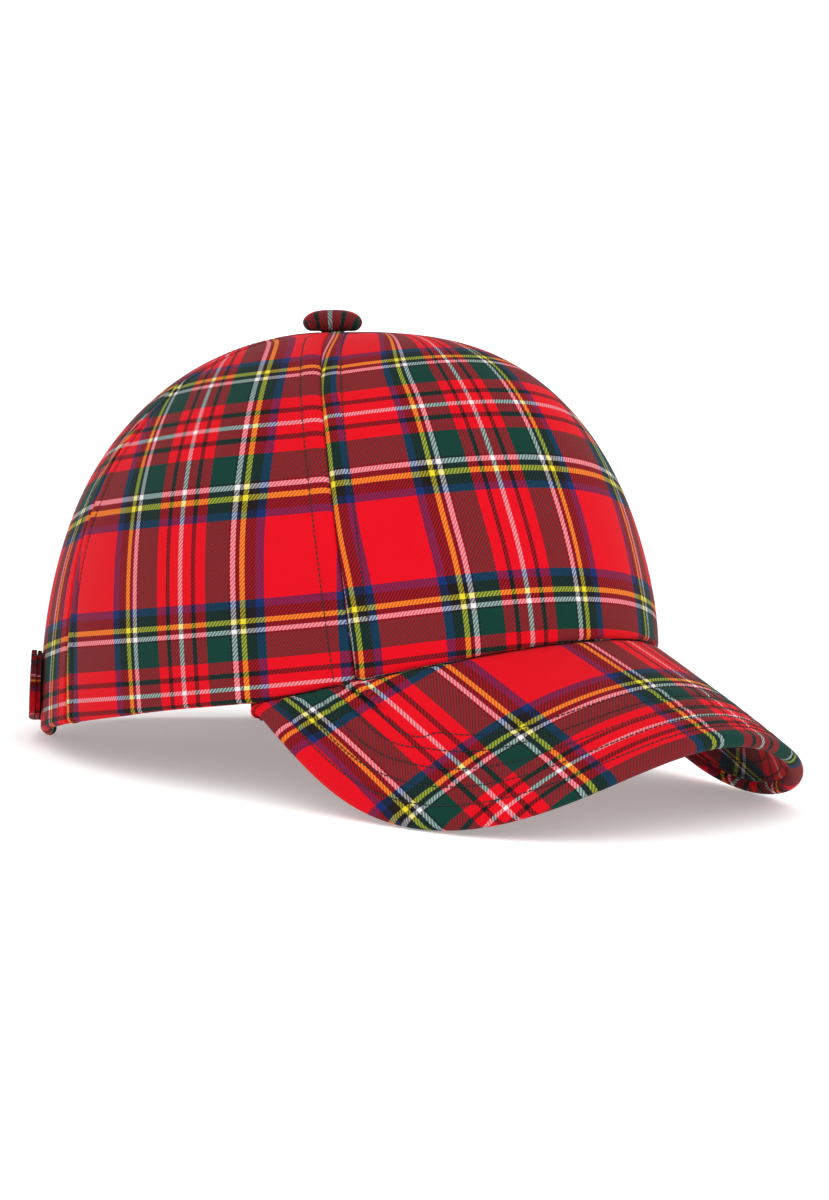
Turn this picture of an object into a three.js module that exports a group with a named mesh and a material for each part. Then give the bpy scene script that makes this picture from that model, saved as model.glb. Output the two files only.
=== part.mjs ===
// A five-panel cloth baseball cap: panelled crown with a covered button, a long curved visor
// and a closure strap across the arched opening at the back. Millimetres, +Z up.
// The visor points to -Y and the wearer's right is -X. The cap stands as it would on a table,
// on the two low sides of its visor and on the back of its rim, so the rim slopes up forwards.

import * as THREE from "three";

// Rim: an oval seen from above, its height above the table a short series in the bearing
const RIM_HALF_LENGTH = 105.5;
const RIM_HALF_WIDTH = 80.1;
const RIM_MID_HEIGHT = 21.3;
const RIM_SLOPE_RISE = 26.4;
const RIM_SIDE_SAG = 0.2;
const RIM_BOW = 0.7;

// Crown profile: powers of the cosine (inwards) and of the sine (upwards) along a meridian
const CROWN_TOP = 135.1;
const CROWN_TOP_SETBACK = 4.5;
const INWARD = { front: 0.54, side: 0.96, back: 1.06 };
const UPWARD = { front: 1.33, side: 0.71 };
const TOP_HOLE_RADIUS = 4.5;

// Cloth
const CLOTH = 1.8;
const HEM_THICKNESS = 3.6;
const HEM_DEPTH = 14;
const HEM_FADE = 6;

// The hem leaves the guiding rim beside the visor and rises over it towards the back,
// all in degrees of bearing but for the rise
const HEM_RISE = 11.5;
const HEM_RISE_START = 64;
const HEM_RISE_SPAN = 85;
const HEM_RISE_EASE = 8;

const SEAM_GAP = 0.3;

// Seams, as bearings from the front in degrees, at the rim and how they grow upwards
const FRONT_SEAM = { rim: 48.3, growth: 8.6, easing: -1.2 };
const SIDE_SEAM = { rim: 113, growth: 4, easing: -1.0 };
const BACK_SEAM = 180;

// Arched opening at the back
const ARCH_HALF_WIDTH = 42;
const ARCH_HEIGHT = 56;

// Button
const BUTTON_RADIUS = 8.8;
const BUTTON_HEIGHT = 6.4;
const BUTTON_EDGE = 1.6;
const BUTTON_SHANK_RADIUS = 3.4;
const BUTTON_SHANK_LENGTH = 5;

// Visor: its top surface is an arch whose half width and depth change forwards
const VISOR_REACH = 156.6;
const VISOR_ROOT_BEARING = 62;
const VISOR_ROOT_TAPER = 5;
const VISOR_BLEND = 14;
const VISOR_SLOPE = 0.42;
const VISOR_SLOPE_GROWTH = 0.001;
const VISOR_ARCH = { halfWidth: 74.5, narrowing: 0.04, depth: 75.9, deepening: 0.27 };
const VISOR_OUTLINE = { frontPull: 48, sidePull: 78.5, sideReach: 131 };
const VISOR_TOP_THICKNESS = 2.4;
const VISOR_UNDER_THICKNESS = 1.2;
const VISOR_UNDER_INSET = 1.5;
const VISOR_GAP = 0.45;
const VISOR_SEAT_GAP = 0.55;

// Closure strap
const STRAP_HEIGHT = 19.5;
const STRAP_ABOVE_RIM = 4.5;
const STRAP_THICKNESS = 1.6;
const STRAP_BACKING_THICKNESS = 1.2;

const STRAP = {
  start: 127,
  end: 226,
  crossFrom: 160,
  crossTo: 200,
  outside: 3.6,
  inside: -4.1,
  endLift: { height: 0.9, span: 8 },
};
const STRAP_CORNER = 5;

// How the cap stands: leant back a little from the frame that its shapes are drawn in
const STAND_TILT = 3.317;
const STAND_FORWARD = 23.864;
const STAND_LIFT = -6.273;
const REST_START = 141;

// How finely the faces are divided
const MERIDIAN_STEPS = 120;
const FRONT_COLUMNS = 16;
const SIDE_COLUMNS = 10;
const BUTTON_EDGE_STEPS = 4;
const BUTTON_DOME_STEPS = 8;
const ARCH_ROWS = 6;
const UPPER_ROWS = 10;
const VISOR_ROWS = 9;
const VISOR_COLUMNS = 12;
const VISOR_ROW_CROWDING = 1.3;
const SINK_SMOOTHING = 3;
const STRAP_ROWS = 3;
const STRAP_COLUMNS = 26;
const STRAP_END_CROWDING = 1.25;
const BUTTON_SIDES = 28;

// Sizes that only shape the drawing
const TURN_STEP = 0.004;
const TOP_STEP = 0.0005;
const STEEPEST_SHARE = 0.985;
const LARGEST_TRIM = 0.9;
const BUTTON_ROUNDNESS = 0.8;
const BACKING_TRIM = 0.8;

const CROWN_COLOR = 0xb3202a;
const SHADED_COLOR = 0x9c1c26;
const DARK_COLOR = 0x8c1c28;
const CLOTH_ROUGHNESS = 0.85;

const RAD = Math.PI / 180;

// Height of the guiding rim; bearing 0 is the front, positive to -X
function rimHeight(bearing) {
  const slope = RIM_SLOPE_RISE * Math.cos(bearing);
  const sag = RIM_SIDE_SAG * Math.cos(2 * bearing);
  return Math.max(RIM_MID_HEIGHT + slope + sag + RIM_BOW * Math.cos(3 * bearing), 0);
}

// How far the hem's fold lies above the guiding rim, along the crown's face
function hemRise(bearing) {
  const fromFront = Math.abs(bearing) / RAD;
  const past = Math.max(Math.min(fromFront, 360 - fromFront) - HEM_RISE_START, 0);
  const eased = (past * past) / (past + HEM_RISE_EASE);
  return HEM_RISE * Math.sin(Math.min(eased / HEM_RISE_SPAN, 1) * 90 * RAD);
}

// The rim's lowest stretch, at the corners of the back opening, lies flat on the table
function restOnTable(bearing, point) {
  const fromFront = Math.abs(bearing) / RAD;
  if (Math.min(fromFront, 360 - fromFront) < REST_START) return;
  const tilt = STAND_TILT * RAD;
  point.z = point.y * Math.tan(tilt) - STAND_LIFT / Math.cos(tilt);
}

// Point of the crown's outer face; lift runs from 0 at the rim to 90 degrees at the top
function crownAt(bearing, lift) {
  const along = Math.cos(bearing);
  const lengthwise = along * along;
  const inwardEnd = along > 0 ? INWARD.front : INWARD.back;
  const inward = inwardEnd * lengthwise + INWARD.side * (1 - lengthwise);
  const upwardEnd = along > 0 ? UPWARD.front : UPWARD.side;
  const upward = upwardEnd * lengthwise + UPWARD.side * (1 - lengthwise);
  const spread = Math.pow(Math.max(Math.cos(lift), 0), inward);
  const rise = Math.pow(Math.sin(lift), upward);
  return new THREE.Vector3(
    -RIM_HALF_WIDTH * Math.sin(bearing) * spread,
    CROWN_TOP_SETBACK + (-RIM_HALF_LENGTH * along - CROWN_TOP_SETBACK) * spread,
    rimHeight(bearing) * (1 - rise) + CROWN_TOP * rise,
  );
}

// Lengths up one meridian from the rim to the hole under the button
function meridian(bearing) {
  const lifts = [0];
  const lengths = [0];
  let previous = crownAt(bearing, 0);
  for (let step = 1; step <= MERIDIAN_STEPS; step += 1) {
    const lift = (Math.PI / 2) * (1 - Math.pow(1 - step / MERIDIAN_STEPS, 2));
    const point = crownAt(bearing, lift);
    const fromTop = Math.hypot(point.x, point.y - CROWN_TOP_SETBACK);
    const length = lengths[lengths.length - 1] + point.distanceTo(previous);
    if (fromTop < TOP_HOLE_RADIUS) {
      const before = Math.hypot(previous.x, previous.y - CROWN_TOP_SETBACK);
      const share = (before - TOP_HOLE_RADIUS) / (before - fromTop);
      const lastLift = lifts[lifts.length - 1];
      const lastLength = lengths[lengths.length - 1];
      lifts.push(lastLift + share * (lift - lastLift));
      lengths.push(lastLength + share * (length - lastLength));
      break;
    }
    lifts.push(lift);
    lengths.push(length);
    previous = point;
  }
  return { lifts, lengths, total: lengths[lengths.length - 1] };
}

function liftAtLength(line, length) {
  const { lifts, lengths } = line;
  let upper = 1;
  while (upper < lengths.length - 1 && lengths[upper] < length) upper += 1;
  const share = (length - lengths[upper - 1]) / (lengths[upper] - lengths[upper - 1]);
  return lifts[upper - 1] + share * (lifts[upper] - lifts[upper - 1]);
}

// Rows up the crown: the lower ones follow the arch of the back opening, the rest are even
function rowLength(bearing, row, total) {
  const rise = hemRise(bearing);
  if (row <= ARCH_ROWS) {
    return rise + (ARCH_HEIGHT - rise) * Math.sin((row / ARCH_ROWS) * 90 * RAD);
  }
  return ARCH_HEIGHT + ((total - ARCH_HEIGHT) * (row - ARCH_ROWS)) / UPPER_ROWS;
}

function crownRow(bearing, row) {
  const line = meridian(bearing);
  return liftAtLength(line, rowLength(bearing, row, line.total));
}

// Outward direction of the crown's face
function crownNormal(bearing, lift) {
  const low = Math.max(lift - TURN_STEP, 0);
  const high = Math.min(lift + TURN_STEP, Math.PI / 2 - TOP_STEP);
  const across = crownAt(bearing + TURN_STEP, lift).sub(crownAt(bearing - TURN_STEP, lift));
  const up = crownAt(bearing, high).sub(crownAt(bearing, low));
  return up.cross(across).normalize();
}

// Bearing of a seam at a row; seams swing a little as they climb
function seamBearing(seam, row) {
  let bearing = seam.rim * RAD;
  for (let pass = 0; pass < 3; pass += 1) {
    const lift = crownRow(bearing, row);
    bearing = (seam.rim + seam.growth * lift + seam.easing * lift * lift) * RAD;
  }
  return bearing;
}

// Edge of a back panel: the arch of the opening, then the back seam
function backEdgeBearing(row) {
  if (row >= ARCH_ROWS) return BACK_SEAM * RAD;
  const halfWidth = ARCH_HALF_WIDTH * Math.cos((row / ARCH_ROWS) * 90 * RAD);
  return BACK_SEAM * RAD - Math.asin(halfWidth / RIM_HALF_WIDTH);
}

// Closed body between two grids of points of the same size. Seen from outside the body, the
// near grid's columns and rows turn counter-clockwise
function bodyBetween(near, far) {
  const rows = near.length;
  const columns = near[0].length;
  const positions = [];
  for (const grid of [near, far]) {
    for (const line of grid) {
      for (const point of line) positions.push(point.x, point.y, point.z);
    }
  }
  const layer = rows * columns;
  const at = (side, row, column) => side * layer + row * columns + column;
  const triangles = [];
  const quad = (a, b, c, d) => triangles.push(a, b, c, a, c, d);
  for (let row = 0; row < rows - 1; row += 1) {
    for (let column = 0; column < columns - 1; column += 1) {
      const corners = (side) => [
        at(side, row, column),
        at(side, row, column + 1),
        at(side, row + 1, column + 1),
        at(side, row + 1, column),
      ];
      quad(...corners(0));
      const [a, b, c, d] = corners(1);
      quad(a, d, c, b);
    }
  }
  for (let column = 0; column < columns - 1; column += 1) {
    quad(at(1, 0, column), at(1, 0, column + 1), at(0, 0, column + 1), at(0, 0, column));
    const last = rows - 1;
    quad(at(0, last, column), at(0, last, column + 1), at(1, last, column + 1), at(1, last, column));
  }
  for (let row = 0; row < rows - 1; row += 1) {
    quad(at(0, row, 0), at(0, row + 1, 0), at(1, row + 1, 0), at(1, row, 0));
    const last = columns - 1;
    quad(at(1, row, last), at(1, row + 1, last), at(0, row + 1, last), at(0, row, last));
  }
  const geometry = new THREE.BufferGeometry();
  geometry.setAttribute("position", new THREE.Float32BufferAttribute(positions, 3));
  geometry.setIndex(triangles);
  return geometry;
}

// Wall thickness at a height over the hem's fold: three layers in the hem, one above it
function wallThickness(length) {
  if (length < HEM_DEPTH) return HEM_THICKNESS;
  const fade = Math.min((length - HEM_DEPTH) / HEM_FADE, 1);
  return HEM_THICKNESS + (CLOTH - HEM_THICKNESS) * fade;
}

// One panel of the crown between two edges given as bearings per row
function panelGeometry(startBearing, endBearing, columns) {
  const outer = [];
  const inner = [];
  for (let row = 0; row <= ARCH_ROWS + UPPER_ROWS; row += 1) {
    const start = startBearing(row);
    const end = endBearing(row);
    const middle = (start + end) / 2;
    const middlePoint = crownAt(middle, crownRow(middle, row));
    const radius = Math.hypot(middlePoint.x, middlePoint.y - CROWN_TOP_SETBACK);
    const margin = SEAM_GAP / 2 / radius;
    const outerLine = [];
    const innerLine = [];
    for (let column = 0; column <= columns; column += 1) {
      const share = column / columns;
      const bearing = start + margin + (end - start - 2 * margin) * share;
      const line = meridian(bearing);
      const length = rowLength(bearing, row, line.total);
      const lift = liftAtLength(line, length);
      const point = crownAt(bearing, lift);
      const wall = wallThickness(length - hemRise(bearing));
      const inward = crownNormal(bearing, lift).multiplyScalar(-wall);
      if (row === 0) inward.z = 0;
      const innerPoint = point.clone().add(inward);
      if (row === 0) [point, innerPoint].forEach((place) => restOnTable(bearing, place));
      outerLine.push(point);
      innerLine.push(innerPoint);
    }
    outer.push(outerLine);
    inner.push(innerLine);
  }
  return bodyBetween(inner, outer);
}

// Height of the visor's arched face before it is drawn in to the rim
function archHeight(x, ahead) {
  const halfWidth = VISOR_ARCH.halfWidth - VISOR_ARCH.narrowing * ahead;
  const depth = VISOR_ARCH.depth + VISOR_ARCH.deepening * ahead;
  const share = Math.min(Math.abs(x) / halfWidth, STEEPEST_SHARE);
  const ridge = rimHeight(0) - VISOR_SLOPE * ahead - VISOR_SLOPE_GROWTH * ahead * ahead;
  return ridge - depth * (1 - Math.sqrt(1 - share * share));
}

// Top face of the visor over the point (x, y): a ledge under the hem, then the arch
function visorAt(x, y) {
  const bearing = Math.atan2(-x / RIM_HALF_WIDTH, -y / RIM_HALF_LENGTH);
  const reach = Math.hypot(x / RIM_HALF_WIDTH, y / RIM_HALF_LENGTH);
  const rimX = -RIM_HALF_WIDTH * Math.sin(bearing);
  const rimY = -RIM_HALF_LENGTH * Math.cos(bearing);
  const seat = rimHeight(bearing) - VISOR_SEAT_GAP;
  if (reach <= 1) return new THREE.Vector3(x, y, seat);
  const correction = seat - archHeight(rimX, -rimY - RIM_HALF_LENGTH);
  const clear = ((reach - 1) * RIM_HALF_WIDTH) / VISOR_BLEND;
  const z = archHeight(x, -y - RIM_HALF_LENGTH) + correction * Math.exp(-clear * clear);
  return new THREE.Vector3(x, y, z);
}

function rimPoint(bearing, inset) {
  const x = -(RIM_HALF_WIDTH - inset) * Math.sin(bearing);
  const y = -(RIM_HALF_LENGTH - inset) * Math.cos(bearing);
  return new THREE.Vector2(x, y);
}

// Half of the visor's free edge seen from above, from its front middle to its root
const visorEdge = new THREE.CubicBezierCurve(
  new THREE.Vector2(0, -VISOR_REACH),
  new THREE.Vector2(-VISOR_OUTLINE.frontPull, -VISOR_REACH),
  new THREE.Vector2(-VISOR_OUTLINE.sidePull, -VISOR_OUTLINE.sideReach),
  rimPoint((VISOR_ROOT_BEARING + VISOR_ROOT_TAPER) * RAD, 0),
);

// Grid over the visor, from its root under the hem to its free edge
function visorGrid() {
  const grid = [];
  for (let row = 0; row <= VISOR_ROWS; row += 1) {
    const line = [];
    for (let column = -VISOR_COLUMNS; column <= VISOR_COLUMNS; column += 1) {
      const share = Math.abs(column) / VISOR_COLUMNS;
      const root = rimPoint(share * VISOR_ROOT_BEARING * RAD, HEM_THICKNESS);
      const outwards = Math.pow(row / VISOR_ROWS, VISOR_ROW_CROWDING);
      const place = root.lerp(visorEdge.getPointAt(share), outwards);
      line.push(visorAt(-Math.sign(column) * Math.abs(place.x), place.y));
    }
    grid.push(line);
  }
  return grid;
}

// The same grid moved inwards along the face's direction, evened out over a few rows
function sunkGrid(grid, depth) {
  const rows = grid.length - 1;
  const columns = grid[0].length - 1;
  return grid.map((line, row) => line.map((point, column) => {
    const left = line[Math.max(column - 1, 0)];
    const right = line[Math.min(column + 1, columns)];
    const back = grid[Math.max(row - SINK_SMOOTHING, 0)][column];
    const front = grid[Math.min(row + SINK_SMOOTHING, rows)][column];
    const across = right.clone().sub(left);
    const normal = across.cross(front.clone().sub(back)).normalize();
    if (normal.z < 0) normal.negate();
    return point.clone().addScaledVector(normal, -depth);
  }));
}

// The same grid with its free edge and its two ends drawn back by a small inset
function trimmedGrid(grid, inset) {
  const drawnBack = (point, towards) => {
    const share = inset / point.distanceTo(towards);
    return point.clone().lerp(towards, Math.min(share, LARGEST_TRIM));
  };
  const rows = grid.length;
  const front = grid[rows - 1].map((point, column) => drawnBack(point, grid[rows - 2][column]));
  const shortened = [...grid.slice(0, rows - 1), front];
  return shortened.map((line) => {
    const last = line.length - 1;
    const start = drawnBack(line[0], line[1]);
    const end = drawnBack(line[last], line[last - 1]);
    return [start, ...line.slice(1, last), end];
  });
}

const visorFace = visorGrid();

function visorTopGeometry() {
  return bodyBetween(visorFace, sunkGrid(visorFace, VISOR_TOP_THICKNESS));
}

function visorUnderGeometry() {
  const start = VISOR_TOP_THICKNESS + VISOR_GAP;
  const face = trimmedGrid(sunkGrid(visorFace, start), VISOR_UNDER_INSET);
  const back = sunkGrid(visorFace, start + VISOR_UNDER_THICKNESS);
  return bodyBetween(face, trimmedGrid(back, VISOR_UNDER_INSET));
}

// Distance of the strap's outer face from the crown's face along its run, as a bearing
function strapStandoff(bearing) {
  const crossing = (bearing / RAD - STRAP.crossFrom) / (STRAP.crossTo - STRAP.crossFrom);
  const share = THREE.MathUtils.smoothstep(crossing, 0, 1);
  const lying = STRAP.outside + (STRAP.inside - STRAP.outside) * share;
  const fromEnd = (bearing / RAD - STRAP.start) / STRAP.endLift.span;
  return lying + STRAP.endLift.height * Math.pow(Math.max(1 - fromEnd, 0), 2);
}

// A band round the back of the crown, between two depths under the strap's outer face
function strapGeometry(from, to, trim) {
  const outer = [];
  const inner = [];
  for (let row = 0; row <= STRAP_ROWS; row += 1) {
    const outerLine = [];
    const innerLine = [];
    for (let column = 0; column <= STRAP_COLUMNS; column += 1) {
      const span = STRAP.end - STRAP.start - 2 * trim;
      const share = column / STRAP_COLUMNS;
      const bearing = (STRAP.start + trim + span * Math.pow(share, STRAP_END_CROWDING)) * RAD;
      const fromEnd = span * Math.pow(share, STRAP_END_CROWDING) * RAD * RIM_HALF_LENGTH;
      const short = Math.max(STRAP_CORNER - fromEnd, 0);
      const corner = STRAP_CORNER - Math.sqrt(STRAP_CORNER * STRAP_CORNER - short * short);
      const height = STRAP_HEIGHT - 2 * corner;
      const start = hemRise(bearing) + STRAP_ABOVE_RIM + corner;
      const length = start + (height * row) / STRAP_ROWS;
      const lift = liftAtLength(meridian(bearing), length);
      const normal = crownNormal(bearing, lift);
      const face = crownAt(bearing, lift).addScaledVector(normal, strapStandoff(bearing));
      outerLine.push(face.clone().addScaledVector(normal, -from));
      innerLine.push(face.addScaledVector(normal, -to));
    }
    outer.push(outerLine);
    inner.push(innerLine);
  }
  return bodyBetween(inner, outer);
}

// Covered button: a domed disc over a short shank that fills the hole at the top
function buttonGeometry() {
  const profile = [
    new THREE.Vector2(0, -BUTTON_SHANK_LENGTH),
    new THREE.Vector2(BUTTON_SHANK_RADIUS, -BUTTON_SHANK_LENGTH),
    new THREE.Vector2(BUTTON_SHANK_RADIUS, SEAM_GAP),
    new THREE.Vector2(BUTTON_RADIUS - BUTTON_EDGE, SEAM_GAP),
  ];
  const edgeHeight = BUTTON_EDGE + SEAM_GAP;
  for (let step = 1; step <= BUTTON_EDGE_STEPS; step += 1) {
    const turn = (step / BUTTON_EDGE_STEPS) * 90 * RAD;
    const x = BUTTON_RADIUS - BUTTON_EDGE + BUTTON_EDGE * Math.sin(turn);
    profile.push(new THREE.Vector2(x, edgeHeight - BUTTON_EDGE * Math.cos(turn)));
  }
  for (let step = 1; step < BUTTON_DOME_STEPS; step += 1) {
    const turn = (step / BUTTON_DOME_STEPS) * 90 * RAD;
    const x = BUTTON_RADIUS * Math.pow(Math.cos(turn), BUTTON_ROUNDNESS);
    profile.push(new THREE.Vector2(x, edgeHeight + (BUTTON_HEIGHT - BUTTON_EDGE) * Math.sin(turn)));
  }
  profile.push(new THREE.Vector2(0, edgeHeight + BUTTON_HEIGHT - BUTTON_EDGE));
  const geometry = new THREE.LatheGeometry(profile, BUTTON_SIDES);
  return geometry.rotateX(90 * RAD);
}

const cap = new THREE.Group();
cap.name = "tartan_cap";

function addPiece(name, geometry, color) {
  const material = new THREE.MeshStandardMaterial({
    color,
    roughness: CLOTH_ROUGHNESS,
    metalness: 0,
  });
  const mesh = new THREE.Mesh(geometry, material);
  mesh.name = name;
  cap.add(mesh);
  return mesh;
}

const frontEdge = (row) => seamBearing(FRONT_SEAM, row);
const sideEdge = (row) => seamBearing(SIDE_SEAM, row);
const opposite = (edge) => (row) => -edge(row);

function addPanel(name, startBearing, endBearing, columns) {
  addPiece(name, panelGeometry(startBearing, endBearing, columns), CROWN_COLOR);
}

addPanel("front_panel", opposite(frontEdge), frontEdge, FRONT_COLUMNS);
addPanel("right_side_panel", frontEdge, sideEdge, SIDE_COLUMNS);
addPanel("left_side_panel", opposite(sideEdge), opposite(frontEdge), SIDE_COLUMNS);
addPanel("right_back_panel", sideEdge, backEdgeBearing, SIDE_COLUMNS);
addPanel("left_back_panel", opposite(backEdgeBearing), opposite(sideEdge), SIDE_COLUMNS);

const button = addPiece("button", buttonGeometry(), DARK_COLOR);
button.position.set(0, CROWN_TOP_SETBACK, CROWN_TOP);

addPiece("visor_top", visorTopGeometry(), CROWN_COLOR);
addPiece("visor_under", visorUnderGeometry(), SHADED_COLOR);

addPiece("closure_strap", strapGeometry(0, STRAP_THICKNESS, 0), SHADED_COLOR);
const backingStart = STRAP_THICKNESS + SEAM_GAP;
const backingEnd = backingStart + STRAP_BACKING_THICKNESS;
addPiece("strap_backing", strapGeometry(backingStart, backingEnd, BACKING_TRIM), DARK_COLOR);

// Leant back until the rim's back and the visor's sides all stand on the table
cap.rotation.x = -STAND_TILT * RAD;
cap.position.set(0, STAND_FORWARD, STAND_LIFT);

export default cap;
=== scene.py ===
"""A tartan baseball cap: panelled crown, arched visor, covered button and closure strap.

Metres, +Z up. The visor points to -Y and the wearer's right is -X. Bearings are angles round
the crown from its front, positive towards the wearer's right. Lengths up the crown are measured
along its face from the rim, and cloth coordinates (warp, weft) are lengths on the flat cloth.
"""

import logging
import math
from collections.abc import Callable
from dataclasses import dataclass, field
from enum import Enum
from functools import partial

import bpy
import numpy as np
from mathutils import Matrix, Vector


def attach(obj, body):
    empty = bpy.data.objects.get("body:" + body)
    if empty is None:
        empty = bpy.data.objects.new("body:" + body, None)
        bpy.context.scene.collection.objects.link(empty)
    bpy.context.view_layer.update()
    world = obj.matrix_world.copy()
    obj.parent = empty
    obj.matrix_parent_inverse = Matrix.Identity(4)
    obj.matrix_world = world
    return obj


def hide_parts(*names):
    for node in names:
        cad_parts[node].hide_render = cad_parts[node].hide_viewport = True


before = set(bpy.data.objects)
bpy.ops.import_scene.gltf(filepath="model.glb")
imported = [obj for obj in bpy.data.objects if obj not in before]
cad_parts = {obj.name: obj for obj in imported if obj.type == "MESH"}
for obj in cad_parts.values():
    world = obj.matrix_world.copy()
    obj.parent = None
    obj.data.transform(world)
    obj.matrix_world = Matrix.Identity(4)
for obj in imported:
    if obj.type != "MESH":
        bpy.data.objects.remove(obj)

logging.basicConfig(level=logging.INFO, format="%(levelname)s %(message)s")
LOG = logging.getLogger("cap")

MM = 0.001
CLOTH_MAP = "cloth"
SAMPLES = 81

Rows = list[tuple[np.ndarray, np.ndarray]]
EdgeLine = Callable[[np.ndarray], np.ndarray]


# ---------------------------------------------------------------- modelling helpers


def deselect_all() -> None:
    """Leave object mode's selection empty."""
    if bpy.context.object is not None and bpy.context.object.mode != "OBJECT":
        bpy.ops.object.mode_set(mode="OBJECT")
    bpy.ops.object.select_all(action="DESELECT")


def select_only(piece: bpy.types.Object) -> None:
    """Select one piece and make it the active one."""
    deselect_all()
    piece.select_set(True)
    bpy.context.view_layer.objects.active = piece


def apply_modifiers(piece: bpy.types.Object) -> None:
    """Apply every modifier of a piece in order."""
    select_only(piece)
    for modifier in list(piece.modifiers):
        bpy.ops.object.modifier_apply(modifier=modifier.name)


def smooth(piece: bpy.types.Object, degrees: float = 50.0) -> None:
    """Shade a piece smooth, with creases where faces meet more steeply than the angle."""
    select_only(piece)
    bpy.ops.object.shade_smooth_by_angle(angle=math.radians(degrees))


def settle(piece: bpy.types.Object) -> None:
    """Put a piece's place, turn and scale into its mesh."""
    select_only(piece)
    bpy.ops.object.transform_apply(location=True, rotation=True, scale=True)


def join(name: str, pieces: list[bpy.types.Object]) -> bpy.types.Object:
    """Join pieces into one.

    Args:
        name: name of the joined piece.
        pieces: the pieces; the first one's materials come first.

    Returns:
        The joined piece.
    """
    deselect_all()
    for piece in pieces:
        piece.select_set(True)
    bpy.context.view_layer.objects.active = pieces[0]
    if len(pieces) > 1:
        bpy.ops.object.join()
    joined = bpy.context.object
    joined.name = joined.data.name = name
    return joined


def cloth_grid(name: str, points: np.ndarray, cloth: np.ndarray) -> bpy.types.Object:
    """Add a grid primitive and draw it out to the given points.

    Args:
        name: name of the new piece.
        points: places of the vertices, rows by columns by 3.
        cloth: cloth coordinates of the vertices, rows by columns by 2.

    Returns:
        The sheet, its columns running to the right and its rows up when seen from outside.
    """
    rows, columns = points.shape[0] - 1, points.shape[1] - 1
    deselect_all()
    bpy.ops.mesh.primitive_grid_add(x_subdivisions=columns, y_subdivisions=rows, size=2)
    piece = bpy.context.object
    piece.name = piece.data.name = name
    mesh = piece.data
    flat = read_array(mesh.vertices, "co", len(mesh.vertices) * 3).reshape(-1, 3)
    column = np.rint((flat[:, 0] + 1) / 2 * columns).astype(int)
    row = np.rint((flat[:, 1] + 1) / 2 * rows).astype(int)
    mesh.vertices.foreach_set("co", points[row, column].ravel())
    lay_cloth(mesh, cloth[row, column])
    return piece


def read_array(source: object, attribute: str, count: int, kind: type = float) -> np.ndarray:
    """One attribute of every vertex or loop of a mesh.

    Args:
        source: the mesh's vertices or loops.
        attribute: name of the attribute.
        count: how many numbers there are in all.
        kind: type of the numbers.

    Returns:
        The numbers in one row.
    """
    values = np.empty(count, dtype=kind)
    source.foreach_get(attribute, values)
    return values


def lay_cloth(mesh: bpy.types.Mesh, cloth: np.ndarray) -> None:
    """Write the cloth coordinates of a primitive's vertices into its map.

    Args:
        mesh: mesh of the primitive, with the map that it came with.
        cloth: cloth coordinates, one pair per vertex.
    """
    loops = read_array(mesh.loops, "vertex_index", len(mesh.loops), int)
    layer = mesh.uv_layers[0]
    layer.name = CLOTH_MAP
    layer.data.foreach_set("uv", cloth[loops].ravel())
    mesh.update()


def thicken(piece: bpy.types.Object, thickness: float) -> None:
    """Give a sheet a wall on its inner side.

    Args:
        piece: the sheet.
        thickness: thickness of the wall, in metres.
    """
    wall = piece.modifiers.new("wall", "SOLIDIFY")
    wall.thickness = thickness
    wall.offset = -1.0
    wall.use_even_offset = False
    apply_modifiers(piece)


def unit(vectors: np.ndarray) -> np.ndarray:
    """Vectors scaled to length one along the last axis."""
    return vectors / np.maximum(np.linalg.norm(vectors, axis=-1, keepdims=True), 1e-12)


def walk(line: np.ndarray) -> np.ndarray:
    """Lengths walked along a line of points, from 0 at its start."""
    return np.concatenate([[0], np.cumsum(np.linalg.norm(np.diff(line, axis=0), axis=1))])


def grid_normals(points: np.ndarray) -> np.ndarray:
    """Outward directions of a grid.

    Args:
        points: places whose columns run to the right and rows up, seen from outside.

    Returns:
        Directions of length one, of the same shape.
    """
    across = np.gradient(points, axis=1)
    up = np.gradient(points, axis=0)
    return unit(np.cross(across, up))


def bump(distance: np.ndarray, centre: float, width: float) -> np.ndarray:
    """A smooth hump of height one at a distance."""
    return np.exp(-(((distance - centre) / width) ** 2))


def ramp(value: np.ndarray, start: float, end: float) -> np.ndarray:
    """Smooth rise from 0 at start to 1 at end."""
    share = np.clip((value - start) / (end - start), 0, 1)
    return share * share * (3 - 2 * share)


# ---------------------------------------------------------------- the cap's guiding form


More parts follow.
